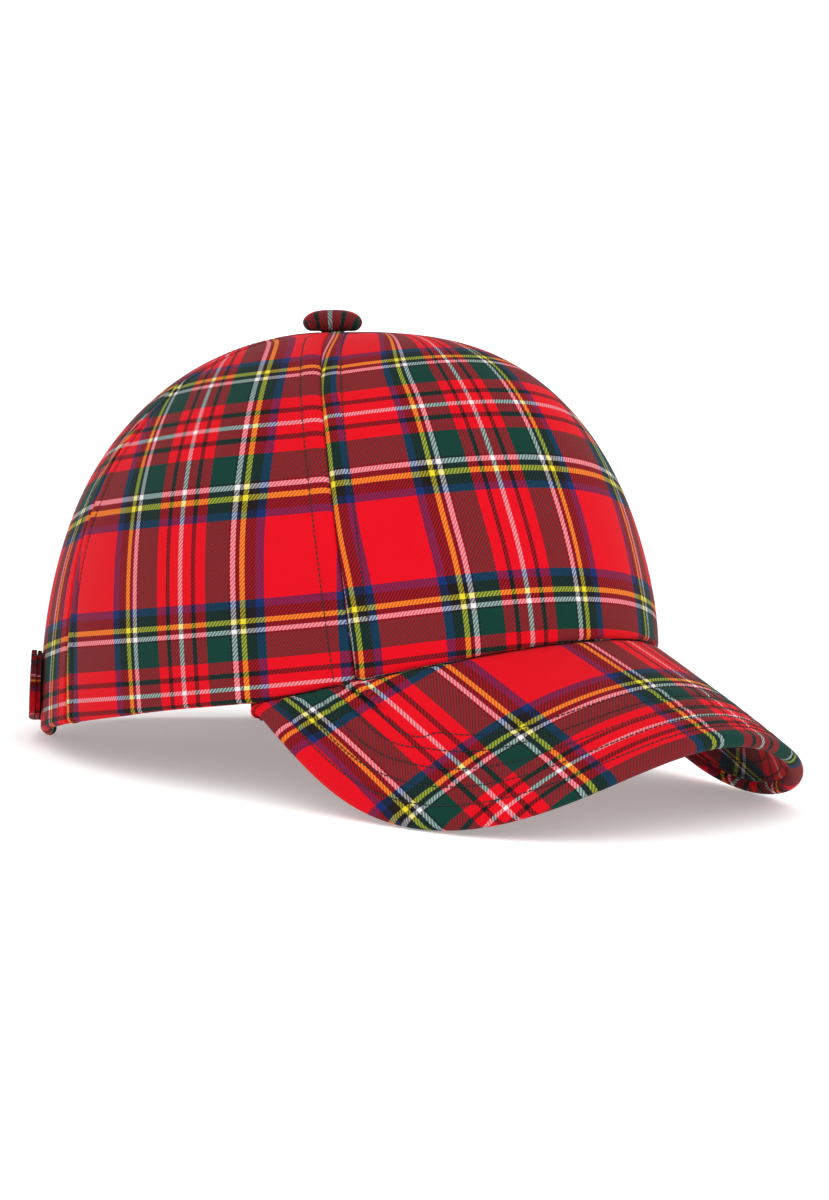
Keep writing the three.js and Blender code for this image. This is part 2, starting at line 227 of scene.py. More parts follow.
@dataclass
class CapForm:
    """The cap's guiding surfaces: tilted rim, domed crown and arched visor.

    The rim's height is a short series in the bearing. The crown narrows and rises by powers of
    the cosine and sine of its lift, which runs from 0 at the rim to 90 degrees at the top.
    """

    rim_length: float = 105.5 * MM
    rim_width: float = 80.1 * MM
    rim_series: tuple[float, ...] = (21.3 * MM, 26.4 * MM, 0.2 * MM, 0.7 * MM)
    top: float = 135.1 * MM
    setback: float = 4.5 * MM
    inward: tuple[float, float, float] = (0.54, 0.96, 1.06)
    upward: tuple[float, float] = (1.33, 0.71)
    hole_radius: float = 4.5 * MM
    visor_reach: float = 156.6 * MM
    hem_rise: float = 11.5 * MM
    hem_rise_start: float = 64.0
    hem_rise_span: float = 85.0
    hem_rise_ease: float = 8.0
    bearings: np.ndarray = field(init=False, repr=False)
    lengths: np.ndarray = field(init=False, repr=False)
    lifts: np.ndarray = field(init=False, repr=False)
    totals: np.ndarray = field(init=False, repr=False)

    def __post_init__(self) -> None:
        """Measure the lengths up the crown, along lines that crowd towards the top."""
        self.bearings = np.radians(np.arange(-200, 230.1, 0.5))
        self.lengths = np.arange(0, 0.2, 0.5 * MM)
        lifts = math.pi / 2 * (1 - (1 - np.linspace(0, 1, 260)) ** 2)
        grid_bearing, grid_lift = np.meshgrid(self.bearings, lifts, indexing="ij")
        points = self.crown(grid_bearing, grid_lift)
        steps = np.linalg.norm(np.diff(points, axis=1), axis=-1)
        walked = np.concatenate([np.zeros((len(steps), 1)), np.cumsum(steps, axis=1)], axis=1)
        radius = np.hypot(points[..., 0], points[..., 1] - self.setback)
        self.lifts = np.array([np.interp(self.lengths, line, lifts) for line in walked])
        self.totals = np.array(
            [np.interp(-self.hole_radius, -far, line) for far, line in zip(radius, walked)]
        )

    def rim_height(self, bearing: np.ndarray) -> np.ndarray:
        """Height of the rim's bottom edge above the table."""
        terms = (part * np.cos(order * bearing) for order, part in enumerate(self.rim_series))
        return np.maximum(sum(terms), 0)

    def hem(self, bearing: np.ndarray) -> np.ndarray:
        """How far the hem's fold lies over the guiding rim.

        Args:
            bearing: angles round the crown.

        Returns:
            Lengths along the crown's face, in metres.
        """
        from_front = np.degrees(np.abs(bearing))
        past = np.maximum(np.minimum(from_front, 360 - from_front) - self.hem_rise_start, 0)
        eased = past**2 / (past + self.hem_rise_ease)
        return self.hem_rise * np.sin(np.minimum(eased / self.hem_rise_span, 1) * math.pi / 2)

    def crown(self, bearing: np.ndarray, lift: np.ndarray) -> np.ndarray:
        """Points of the crown's outer face.

        Args:
            bearing: angles round the crown.
            lift: angles from the rim to the top, of the same shape.

        Returns:
            The points, with one more axis of 3.
        """
        front, side, back = self.inward
        front_rise, side_rise = self.upward
        along = np.cos(bearing)
        lengthwise = along**2
        inward = np.where(along > 0, front, back) * lengthwise + side * (1 - lengthwise)
        upward = np.where(along > 0, front_rise, side_rise) * lengthwise
        upward = upward + side_rise * (1 - lengthwise)
        spread = np.maximum(np.cos(lift), 0) ** inward
        rise = np.sin(lift) ** upward
        return np.stack(
            [
                -self.rim_width * np.sin(bearing) * spread,
                self.setback - (self.rim_length * along + self.setback) * spread,
                self.rim_height(bearing) * (1 - rise) + self.top * rise,
            ],
            axis=-1,
        )

    def lift_at(self, bearing: np.ndarray, length: np.ndarray) -> np.ndarray:
        """Lift of the crown's face.

        Args:
            bearing: angles round the crown.
            length: lengths up the face from the rim, of the same shape.

        Returns:
            Angles from the rim to the top, read between the measured lines.
        """
        place = (bearing - self.bearings[0]) / (self.bearings[1] - self.bearings[0])
        column = np.clip(place.astype(int), 0, len(self.bearings) - 2)
        height = np.clip(length / (self.lengths[1] - self.lengths[0]), 0, len(self.lengths) - 1.001)
        row = height.astype(int)
        sideways, upwards = place - column, height - row
        low, high = (
            self.lifts[line, row] * (1 - upwards) + self.lifts[line, row + 1] * upwards
            for line in (column, column + 1)
        )
        return low * (1 - sideways) + high * sideways

    def total(self, bearing: np.ndarray) -> np.ndarray:
        """Length from the rim to the hole under the button."""
        return np.interp(bearing, self.bearings, self.totals)

    def frame_at(
        self, bearing: np.ndarray, length: np.ndarray
    ) -> tuple[np.ndarray, np.ndarray, np.ndarray]:
        """The crown's face and how it lies.

        Args:
            bearing: angles round the crown.
            length: lengths up the face from the rim, of the same shape.

        Returns:
            The points, their outward directions and their directions up the face.
        """
        step, short_of_top = 0.004, 0.0005
        lift = self.lift_at(bearing, length)
        point = self.crown(bearing, lift)
        low = np.maximum(lift - step, 0)
        high = np.minimum(lift + step, math.pi / 2 - short_of_top)
        up = unit(self.crown(bearing, high) - self.crown(bearing, low))
        across = self.crown(bearing + step, lift) - self.crown(bearing - step, lift)
        return point, unit(np.cross(up, across)), up


@dataclass(frozen=True)
class Stance:
    """How the cap stands on the table: leant back from the frame that its shapes are drawn in."""

    tilt: float = math.radians(3.317)
    forward: float = 23.864 * MM
    lift: float = -6.273 * MM

    @property
    def matrix(self) -> Matrix:
        """Turn and shift from the drawing frame to the shared one."""
        return Matrix.Translation((0, self.forward, self.lift)) @ Matrix.Rotation(-self.tilt, 4, "X")

    def stand(self, piece: bpy.types.Object) -> None:
        """Lean a piece back and put it in its place, in its own mesh."""
        piece.matrix_world = self.matrix @ piece.matrix_world
        settle(piece)


class Side(Enum):
    """Which half of the cap a paired piece is on."""

    RIGHT = 1
    LEFT = -1


@dataclass(frozen=True)
class Seam:
    """A seam that swings a little as it climbs, its bearing in degrees a series in the lift."""

    rim: float
    growth: float = 0.0
    easing: float = 0.0

    def bearing(self, form: CapForm, length: np.ndarray) -> np.ndarray:
        """Bearing of the seam, found in three steps from its place at the rim.

        Args:
            form: the cap's guiding form.
            length: lengths up the crown, in metres.

        Returns:
            Bearings in radians, of the same shape.
        """
        bearing = np.full_like(length, math.radians(self.rim))
        for _ in range(3):
            lift = form.lift_at(bearing, length)
            bearing = np.radians(self.rim + self.growth * lift + self.easing * lift**2)
        return bearing


@dataclass(frozen=True)
class Grain:
    """How a flat cloth lies on a panel: where its pattern sits and how it is eased upwards.

    Sizes are in millimetres on the cloth. The warp pattern may sit off the panel's middle, drift
    sideways above a height and gather towards the top. Past a distance from the middle it is
    pulled towards the seam, fully only between two heights. The weft lines climb across the
    panel and are stretched below the shoulder.
    """

    scale: float = 1.0
    centre: float = 0.0
    drift: float = -0.0013
    drift_from: float = 35.0
    gather: float = 8.0e-5
    gather_from: float = 35.0
    top_gather: float = 0.0
    top_from: float = 88.0
    pull: float = 0.0
    pull_from: float = 42.0
    pull_span: float = 29.0
    pull_limit: float = 1.3
    pull_at_rim: float = 0.35
    pull_grows: tuple[float, float] = (15.0, 60.0)
    pull_fades: tuple[float, float] = (92.0, 118.0)
    rise: float = 34.0
    tilt: float = 0.064
    tilt_growth: float = 0.0008
    level_at: float = 20.0
    warp_start: float = 34.45
    stretch: float = 1.06
    shoulder: float = 17.0
    shoulder_ease: float = 0.2

    def lay(self, across: np.ndarray, length: np.ndarray) -> np.ndarray:
        """Cloth coordinates of places on the panel.

        Args:
            across: distances from the panel's middle, in metres.
            length: lengths up from the rim, in metres.

        Returns:
            Cloth coordinates in metres, with one more axis of 2.
        """
        u, v = across / MM, length / MM
        drift = self.drift * np.maximum(v - self.drift_from, 0) ** 2
        gather = 1 + self.gather * np.maximum(v - self.gather_from, 0) ** 2
        gather = gather + self.top_gather * np.maximum(v - self.top_from, 0) ** 2
        warp = self.scale * gather * (u - self.centre - drift)
        near_seam = np.clip((warp - self.pull_from) / self.pull_span, 0, self.pull_limit)
        held = self.pull_at_rim + (1 - self.pull_at_rim) * ramp(v, *self.pull_grows)
        held = held * (1 - ramp(v, *self.pull_fades))
        warp = warp + self.pull * held * near_seam + self.warp_start
        climb = (self.tilt + self.tilt_growth * np.maximum(v, 0)) * (u - self.level_at)
        height = v - self.rise - climb
        weft = self.stretch * height - self.shoulder_ease * np.maximum(height - self.shoulder, 0)
        return np.stack([warp, weft], axis=-1) * MM


# ---------------------------------------------------------------- shader node groups


class Nodes:
    """A small helper that adds and links shader nodes in one tree."""

    def __init__(self, tree: bpy.types.NodeTree) -> None:
        """Keep the tree that the nodes go into."""
        self.tree = tree

    def add(self, kind: str, **settings: object) -> bpy.types.Node:
        """Add a node and set its properties."""
        node = self.tree.nodes.new(kind)
        for name, value in settings.items():
            setattr(node, name, value)
        return node

    def link(self, source: bpy.types.NodeSocket, target: bpy.types.NodeSocket) -> None:
        """Link an output to an input."""
        self.tree.links.new(source, target)

    def feed(self, socket: bpy.types.NodeSocket, value: object) -> None:
        """Link an output to a socket, or set the socket's own value."""
        if isinstance(value, bpy.types.NodeSocket):
            self.link(value, socket)
        else:
            socket.default_value = value

    def math(self, operation: str, first: object, second: object) -> bpy.types.NodeSocket:
        """Add a Math node.

        Args:
            operation: what it does.
            first: its first value or socket.
            second: its second value or socket.

        Returns:
            Its output.
        """
        node = self.add("ShaderNodeMath", operation=operation)
        for socket, value in zip(node.inputs, (first, second)):
            self.feed(socket, value)
        return node.outputs[0]

    def scale(self, color: bpy.types.NodeSocket, share: object) -> bpy.types.NodeSocket:
        """Make a colour darker or lighter.

        Args:
            color: the colour's socket.
            share: value or socket that it is multiplied by.

        Returns:
            The scaled colour.
        """
        node = self.add("ShaderNodeVectorMath", operation="SCALE")
        self.link(color, node.inputs[0])
        self.feed(node.inputs["Scale"], share)
        return node.outputs[0]

    def gamma(self, color: bpy.types.NodeSocket, power: float) -> bpy.types.NodeSocket:
        """Raise a colour to a power.

        Args:
            color: the colour's socket.
            power: the power.

        Returns:
            The new colour.
        """
        node = self.add("ShaderNodeGamma")
        self.link(color, node.inputs[0])
        node.inputs[1].default_value = power
        return node.outputs[0]

    def relief(self, height: object, distance: float, strength: float = 1.0) -> bpy.types.NodeSocket:
        """Turn a height into a normal.

        Args:
            height: the height's socket.
            distance: depth of the relief, in metres.
            strength: share of the relief that shows.

        Returns:
            The normal.
        """
        node = self.add("ShaderNodeBump")
        node.inputs["Strength"].default_value = strength
        node.inputs["Distance"].default_value = distance
        self.link(height, node.inputs["Height"])
        return node.outputs[0]

    def mix(
        self, share: object, first: object, second: object, blend: str = "MIX"
    ) -> bpy.types.NodeSocket:
        """Add a colour Mix node.

        Args:
            share: how much of the second colour there is.
            first: its first colour or socket.
            second: its second colour or socket.
            blend: how the second colour acts on the first.

        Returns:
            Its output.
        """
        node = self.add("ShaderNodeMix", data_type="RGBA", blend_type=blend)
        self.feed(node.inputs[0], share)
        self.feed(node.inputs[6], first)
        self.feed(node.inputs[7], second)
        return node.outputs[2]

    def noise(self, vector: object, scale: float, detail: float) -> bpy.types.NodeSocket:
        """Add a Noise Texture.

        Args:
            vector: socket of the places it is read at.
            scale: how closely its spots lie.
            detail: how many finer layers it has.

        Returns:
            Its value.
        """
        node = self.add("ShaderNodeTexNoise")
        self.feed(node.inputs["Vector"], vector)
        node.inputs["Scale"].default_value = scale
        node.inputs["Detail"].default_value = detail
        return node.outputs["Fac"]

    def spread(
        self, value: object, old: tuple[float, float], new: tuple[float, float]
    ) -> bpy.types.NodeSocket:
        """Map a value from one range to another.

        Args:
            value: the value's socket.
            old: the range that it comes in.
            new: the range that it goes to.

        Returns:
            The mapped value.
        """
        node = self.add("ShaderNodeMapRange")
        for socket, number in zip(node.inputs, (value, *old, *new)):
            self.feed(socket, number)
        return node.outputs[0]


def new_material(
    name: str,
) -> tuple[bpy.types.Material, Nodes, bpy.types.ShaderNodeBsdfPrincipled]:
    """Start a material.

    Args:
        name: name of the material.

    Returns:
        The material, its Nodes helper and its shader.
    """
    material = bpy.data.materials.new(name)
    material.use_nodes = True
    nodes = Nodes(material.node_tree)
    return material, nodes, material.node_tree.nodes["Principled BSDF"]


def cover(piece: bpy.types.Object, material: bpy.types.Material) -> None:
    """Make a material a piece's only one."""
    piece.data.materials.clear()
    piece.data.materials.append(material)


def new_group(
    name: str, inputs: dict[str, str], outputs: dict[str, str]
) -> tuple[bpy.types.NodeTree, Nodes, bpy.types.Node, bpy.types.Node]:
    """Make an empty shader node group.

    Args:
        name: name of the group.
        inputs: socket types by name.
        outputs: socket types by name.

    Returns:
        The tree, its Nodes helper, and its input and output nodes.
    """
    tree = bpy.data.node_groups.new(name, "ShaderNodeTree")
    for way, sockets in (("INPUT", inputs), ("OUTPUT", outputs)):
        for title, kind in sockets.items():
            tree.interface.new_socket(name=title, in_out=way, socket_type=kind)
    nodes = Nodes(tree)
    return tree, nodes, nodes.add("NodeGroupInput"), nodes.add("NodeGroupOutput")


FLOAT = "NodeSocketFloat"
VECTOR = "NodeSocketVector"
COLOR = "NodeSocketColor"


class Yarn(Enum):
    """Dyed yarns of the tartan, as linear colours."""

    RED = (0.84, 0.003, 0.013, 1)
    BLUE = (0.009, 0.030, 0.155, 1)
    BLACK = (0.014, 0.010, 0.011, 1)
    YELLOW = (0.90, 0.76, 0.03, 1)
    WHITE = (0.90, 0.90, 0.90, 1)
    GREEN = (0.005, 0.050, 0.036, 1)


@dataclass(frozen=True)
class TartanSett:
    """The traditional red tartan: half a repeat of stripes, mirrored about both its ends.

    Widths are in millimetres from the middle of the wide red stripe to the middle of the single
    white one, closer together in the warp than in the weft.
    """

    warp: tuple[tuple[Yarn, float], ...] = (
        (Yarn.RED, 9.3),
        (Yarn.BLUE, 2.5),
        (Yarn.BLACK, 3.0),
        (Yarn.YELLOW, 1.4),
        (Yarn.BLACK, 1.25),
        (Yarn.WHITE, 1.5),
        (Yarn.BLACK, 0.55),
        (Yarn.GREEN, 6.9),
        (Yarn.RED, 3.1),
        (Yarn.BLACK, 1.4),
        (Yarn.RED, 2.85),
        (Yarn.WHITE, 0.7),
    )
    weft: tuple[tuple[Yarn, float], ...] = (
        (Yarn.RED, 12.6),
        (Yarn.BLUE, 2.6),
        (Yarn.BLACK, 3.25),
        (Yarn.YELLOW, 1.5),
        (Yarn.BLACK, 1.65),
        (Yarn.WHITE, 1.4),
        (Yarn.BLACK, 0.6),
        (Yarn.GREEN, 7.6),
        (Yarn.RED, 3.6),
        (Yarn.BLACK, 1.5),
        (Yarn.RED, 2.75),
        (Yarn.WHITE, 0.75),
    )
    warp_yarn: float = 0.25
    weft_yarn: float = 0.34
    contrast: float = 0.65
    eye: float = 2.2
    waver: float = 320.0
    twill: float = 4.0
    yarn_edge: tuple[float, float] = (0.0, 0.3)
    # painted shade: share of a yarn's colour kept at its edges and at its middle
    painted_yarn_shade: tuple[float, float] = (0.72, 1.0)
    name: str = "woven_tartan"

    @staticmethod
    def stripe_ramp(
        nodes: Nodes, place: object, stripes: tuple[tuple[Yarn, float], ...]
    ) -> bpy.types.NodeSocket:
        """Lay the stripes out as a stepped ramp.

        Args:
            nodes: helper of the group's tree.
            place: socket of the place across the repeat.
            stripes: yarns and widths of half a repeat.

        Returns:
            Colour of the yarn at the place.
        """
        half_repeat = sum(width for _, width in stripes)
        folded = nodes.math("PINGPONG", place, half_repeat * MM)
        share = nodes.math("DIVIDE", folded, half_repeat * MM)
        node = nodes.add("ShaderNodeValToRGB")
        node.color_ramp.interpolation = "CONSTANT"
        elements = node.color_ramp.elements
        while len(elements) > 1:
            elements.remove(elements[-1])
        reached, last_place = 0.0, 0.999
        for number, (yarn, width) in enumerate(stripes):
            stop = elements[0] if number == 0 else elements.new(last_place)
            stop.position = reached / half_repeat
            stop.color = yarn.value
            reached += width
        nodes.link(share, node.inputs[0])
        return node.outputs[0]

    def blend(self, nodes: Nodes, warp: object, weft: object) -> bpy.types.NodeSocket:
        """Colour that two crossing yarns make from a little way off."""
        softened = [nodes.gamma(color, 1 / self.eye) for color in (warp, weft)]
        return nodes.gamma(nodes.mix(0.5, *softened), self.eye)

    def build(self) -> bpy.types.NodeTree:
        """Build the woven tartan as a node group.

        Returns:
            A group from cloth coordinates to the yarn's colour, darkened towards each yarn's edges as
            painted shade, and the weave's height.
        """
        tree, nodes, entry, leave = new_group(
            self.name,
            {"Cloth": VECTOR, "Slack": FLOAT},
            {"Color": COLOR, "Height": FLOAT},
        )
        split = nodes.add("ShaderNodeSeparateXYZ")
        nodes.link(entry.outputs["Cloth"], split.inputs[0])
        waver = nodes.noise(entry.outputs["Cloth"], self.waver, 1.0)
        waver = nodes.math("MULTIPLY", nodes.math("SUBTRACT", waver, 0.5), entry.outputs["Slack"])
        warp_place = nodes.math("ADD", split.outputs[0], waver)
        weft_place = nodes.math("ADD", split.outputs[1], waver)
        warp_count = nodes.math("DIVIDE", warp_place, self.warp_yarn * MM)
        weft_count = nodes.math("DIVIDE", weft_place, self.weft_yarn * MM)
        whole = [nodes.math("FLOOR", count, 0.0) for count in (warp_count, weft_count)]
        phase = nodes.math("FLOORED_MODULO", nodes.math("ADD", *whole), self.twill)
        over = nodes.math("LESS_THAN", phase, self.twill / 2 - 0.5)
        warp = self.stripe_ramp(nodes, warp_place, self.warp)
        weft = self.stripe_ramp(nodes, weft_place, self.weft)
        blended = self.blend(nodes, warp, weft)
        evened = nodes.mix(1.0, blended, nodes.mix(0.5, warp, weft), "DIVIDE")
        raised = nodes.mix(1.0, nodes.mix(over, weft, warp), evened, "MULTIPLY")
        color = nodes.mix(self.contrast, blended, raised)
        warp_round = nodes.math("PINGPONG", warp_count, 0.5)
        weft_round = nodes.math("PINGPONG", weft_count, 0.5)
        yarn = nodes.add("ShaderNodeMix", data_type="FLOAT")
        nodes.link(over, yarn.inputs[0])
        nodes.link(weft_round, yarn.inputs[2])
        nodes.link(warp_round, yarn.inputs[3])
        # painted shade: each yarn's colour darkens from its middle towards its edges, as on a round
        # yarn under light
        shade = nodes.spread(yarn.outputs[0], self.yarn_edge, self.painted_yarn_shade)
        nodes.link(nodes.scale(color, shade), leave.inputs["Color"])
        nodes.link(yarn.outputs[0], leave.inputs["Height"])
        return tree


@dataclass(frozen=True)
class ClothWear:
    """Light unevenness of worn cloth: broad shade changes and a fine fuzz."""

    broad: float = 26.0
    fine: float = 900.0
    fuzz: float = 0.6
    swell: float = 0.5
    found: tuple[float, float] = (0.3, 0.7)

    def build(self) -> bpy.types.NodeTree:
        """Build the unevenness as a node group.

        Returns:
            A group from coordinates to a shade and a height.
        """
        tree, nodes, entry, leave = new_group(
            "cloth_wear",
            {"Place": VECTOR, "Strength": FLOAT},
            {"Shade": FLOAT, "Height": FLOAT},
        )
        broad, fine = (
            nodes.spread(nodes.noise(entry.outputs["Place"], size, layers), self.found, (-1.0, 1.0))
            for size, layers in ((self.broad, 3.0), (self.fine, 2.0))
        )
        both = nodes.math("ADD", nodes.math("MULTIPLY", fine, self.fuzz), broad)
        swing = nodes.math("MULTIPLY", both, entry.outputs["Strength"])
        nodes.link(nodes.math("ADD", swing, 1.0), leave.inputs["Shade"])
        nodes.link(nodes.math("MULTIPLY", broad, self.swell), leave.inputs["Height"])
        return tree


# ---------------------------------------------------------------- finishes


@dataclass(frozen=True)
class TartanCloth:
    """The cap's woven cloth as a material, darker or lighter for the piece it covers; on the visor's
    under cloth the darkening is painted shade.
    """

    name: str
    # share of the tartan's colour kept on this piece; on the visor's under cloth it is painted shade
    depth: float = 0.82
    weave: str = "tartan"
    slack: float = 0.00004
    wear: float = 0.035
    roughness: float = 0.78
    gloss: float = 0.06
    sheen: float = 0.03
    sheen_roughness: float = 0.5
    relief: float = 0.00006
    relief_share: float = 0.5

    def dress(self, piece: bpy.types.Object, groups: dict[str, bpy.types.NodeTree]) -> None:
        """Give a piece this cloth."""
        cover(piece, bpy.data.materials.get(self.name) or self.make(groups))

    def make(self, groups: dict[str, bpy.types.NodeTree]) -> bpy.types.Material:
        """Build the material.

        Args:
            groups: the shared node groups by name.

        Returns:
            The new material.
        """
        material, nodes, shader = new_material(self.name)
        cloth = nodes.add("ShaderNodeUVMap", uv_map=CLOTH_MAP)
        place = nodes.add("ShaderNodeTexCoord")
        tartan = nodes.add("ShaderNodeGroup", node_tree=groups[self.weave])
        nodes.link(cloth.outputs[0], tartan.inputs["Cloth"])
        tartan.inputs["Slack"].default_value = self.slack
        wear = nodes.add("ShaderNodeGroup", node_tree=groups["wear"])
        nodes.link(place.outputs["Object"], wear.inputs["Place"])
        wear.inputs["Strength"].default_value = self.wear
        # random wear tone times the piece's share; on the visor's under cloth that share is painted
        # shade
        shade = nodes.math("MULTIPLY", wear.outputs["Shade"], self.depth)
        nodes.link(nodes.scale(tartan.outputs["Color"], shade), shader.inputs["Base Color"])
        height = nodes.math("ADD", tartan.outputs["Height"], wear.outputs["Height"])
        nodes.link(nodes.relief(height, self.relief, self.relief_share), shader.inputs["Normal"])
        shader.inputs["Roughness"].default_value = self.roughness
        shader.inputs["Specular IOR Level"].default_value = self.gloss
        shader.inputs["Sheen Weight"].default_value = self.sheen
        shader.inputs["Sheen Roughness"].default_value = self.sheen_roughness
        return material


@dataclass(frozen=True)
class SewingThread:
    """Dark sewing thread, its fibres uneven in shade and height."""

    name: str = "dark_thread"
    color: tuple[float, float, float, float] = (0.004, 0.005, 0.005, 1)
    lighter: float = 2.6
    fibres: float = 2400.0
    relief: float = 0.00004
    roughness: float = 0.8

    def dress(self, piece: bpy.types.Object) -> None:
        """Give a piece this thread."""
        cover(piece, bpy.data.materials.get(self.name) or self.make())

    def make(self) -> bpy.types.Material:
        """Build the material.

        Returns:
            The new material.
        """
        material, nodes, shader = new_material(self.name)
        place = nodes.add("ShaderNodeTexCoord")
        fibres = nodes.noise(place.outputs["Object"], self.fibres, 1.0)
        lighter = tuple(part * self.lighter for part in self.color[:3]) + (1,)
        nodes.link(nodes.mix(fibres, self.color, lighter), shader.inputs["Base Color"])
        nodes.link(nodes.relief(fibres, self.relief), shader.inputs["Normal"])
        shader.inputs["Roughness"].default_value = self.roughness
        return material


@dataclass(frozen=True)
class StudioFloor:
    """Smooth pale paper for the floor and its sweep, which gives off a little light of its own."""

    name: str = "studio_paper"
    shade: float = 0.93
    glow: float = 0.3
    roughness: float = 0.9
    gloss: float = 0.1

    def make(self) -> bpy.types.Material:
        """Build the material.

        Returns:
            The new material.
        """
        material, _, shader = new_material(self.name)
        shader.inputs["Base Color"].default_value = (self.shade, self.shade, self.shade, 1)
        shader.inputs["Roughness"].default_value = self.roughness
        shader.inputs["Specular IOR Level"].default_value = self.gloss
        shader.inputs["Emission Color"].default_value = (1, 1, 1, 1)
        shader.inputs["Emission Strength"].default_value = self.glow
        return material


# ---------------------------------------------------------------- stitching


@dataclass
class Stitching:
    """Rows of topstitching, each stitch a small plump thread half sunk in the cloth."""

    pitch: float = 1.6 * MM
    length: float = 1.3 * MM
    width: float = 0.44 * MM
    height: float = 0.36 * MM
    sides: int = 6
    rings: int = 4
    bluntness: float = 0.6
    proud: float = 0.22
    crease: float = 80.0

    def shape(self) -> tuple[np.ndarray, list[tuple[int, ...]]]:
        """Model one stitch along X.

        Returns:
            Its vertices and its faces.
        """
        deselect_all()
        bpy.ops.mesh.primitive_uv_sphere_add(segments=self.sides, ring_count=self.rings, radius=0.5)
        stitch = bpy.context.object
        stitch.rotation_euler = (0, math.pi / 2, 0)
        settle(stitch)
        stitch.scale = (self.length, self.width, self.height)
        settle(stitch)
        vertices = np.array([vertex.co[:] for vertex in stitch.data.vertices])
        faces = [tuple(face.vertices) for face in stitch.data.polygons]
        bpy.data.objects.remove(stitch)
        blunt = np.abs(2 * vertices[:, 0] / self.length) ** self.bluntness
        blunt = np.sign(vertices[:, 0]) * blunt
        vertices[:, 0] = blunt * self.length / 2
        return vertices, faces

    def sew(self, name: str, rows: Rows, thread: SewingThread) -> bpy.types.Object:
        """Sew copies of one stitch along rows.

        Args:
            name: name of the piece that holds the stitches.
            rows: for each row its points and outward directions.
            thread: the finish.

        Returns:
            One piece with all the stitches.
        """
        shape, faces = self.shape()
        vertices, polygons = [], []
        for points, normals in rows:
            walked = walk(points)
            for number in range(int(walked[-1] / self.pitch)):
                middle = (number + 0.5) * self.pitch
                ends = np.array([middle - self.length / 2, middle, middle + self.length / 2])
                places = np.stack([np.interp(ends, walked, points[:, k]) for k in range(3)], axis=-1)
                outward = np.array([np.interp(middle, walked, normals[:, k]) for k in range(3)])
                along = unit(places[2] - places[0])
                outward = unit(outward - along * outward.dot(along))
                basis = np.stack([along, np.cross(outward, along), outward])
                start = len(polygons) // len(faces) * len(shape)
                vertices.append(shape @ basis + places[1] + outward * self.height * self.proud)
                polygons.extend(tuple(start + k for k in face) for face in faces)
        mesh = bpy.data.meshes.new(name)
        mesh.from_pydata(np.concatenate(vertices).tolist(), [], polygons)
        piece = bpy.data.objects.new(name, mesh)
        bpy.context.collection.objects.link(piece)
        smooth(piece, self.crease)
        thread.dress(piece)
        return piece


# ---------------------------------------------------------------- crown


@dataclass(frozen=True)
class SewnEdge:
    """How cloth rolls into a seam and lies over the allowance pressed open beneath it.

    Sizes are in millimetres from the seam.
    """

    roll: float = 1.3
    band: float = 0.3
    stitch: float = 6.0
    dimple: float = 0.3
    near: tuple[float, ...] = (
        0, 0.12, 0.3, 0.55, 0.9, 1.4, 2.1, 3.0, 4.0, 4.9, 5.5, 6.0, 6.5, 7.1, 8.2,
    )

    @property
    def stitch_column(self) -> int:
        """Which of the near distances lies on the stitch row."""
        return self.near.index(self.stitch)

    def relief(self, distance: np.ndarray) -> np.ndarray:
        """Height of the cloth over the plain surface, in millimetres."""
        inside = 1 - np.minimum(distance / self.roll, 1)
        rolled = -self.roll * (1 - np.sqrt(np.maximum(1 - inside**2, 0)))
        band = self.band * (ramp(distance, 0.8, 2.6) - ramp(distance, 4.6, 7.8))
        return rolled + band - self.dimple * bump(distance, self.stitch, 0.6)


@dataclass(frozen=True)
class BackOpening:
    """The arched opening at the back, half an ellipse that stands on the raised rim.

    Sizes are in millimetres: half its width, the height of its top along the face from the
    guiding rim, and how far the stitch row lies outside it.
    """

    half_width: float = 42.0
    height: float = 56.0
    stitch: float = 6.0
    stitch_ends: tuple[float, float] = (5.0, 88.0)

    def rise(self, form: CapForm) -> float:
        """Height of the arch above the raised rim."""
        return self.height - form.hem_rise / MM

    def mean_radius(self, form: CapForm) -> float:
        """Mean of the arch's half width and its rise."""
        return (self.half_width + self.height - form.hem_rise / MM) / 2

    def distance(self, form: CapForm, bearing: np.ndarray, length: np.ndarray) -> np.ndarray:
        """Rough distance from the opening's edge.

        Args:
            form: the cap's guiding form.
            bearing: angles round the crown.
            length: lengths up the face, in metres.

        Returns:
            Distances in millimetres, 0 inside the opening.
        """
        across = form.rim_width / MM * np.sin(np.pi - np.abs(bearing))
        up = np.maximum(length / MM - form.hem_rise / MM, 0) / self.rise(form)
        out = np.hypot(across / self.half_width, up)
        return np.maximum(out - 1, 0) * self.mean_radius(form)

    def edge(self, form: CapForm, length: np.ndarray) -> np.ndarray:
        """Bearing of a right back panel's rear edge: the arch, then the back seam.

        Args:
            form: the cap's guiding form.
            length: lengths up the face, in metres.

        Returns:
            Bearings in radians.
        """
        height = np.clip((length / MM - form.hem_rise / MM) / self.rise(form), 0, 1)
        half_width = self.half_width * MM * np.sqrt(1 - height**2)
        return math.pi - np.arcsin(half_width / form.rim_width)

    def stitch_row(self, form: CapForm, side: Side, sunk: float) -> tuple[np.ndarray, np.ndarray]:
        """The topstitching round one half of the opening.

        Args:
            form: the cap's guiding form.
            side: which half.
            sunk: how far the row is sunk in the cloth, in millimetres.

        Returns:
            The row's points and outward directions.
        """
        first, last = self.stitch_ends
        turn = np.linspace(math.radians(first), math.radians(last), 60)
        out = 1 + self.stitch / self.mean_radius(form)
        across = self.half_width * out * np.cos(turn) * MM
        length = (form.hem_rise / MM + self.rise(form) * out * np.sin(turn)) * MM
        bearing = (math.pi - np.arcsin(across / form.rim_width)) * side.value
        point, outward, _ = form.frame_at(bearing, length)
        return point - outward * sunk * MM, outward


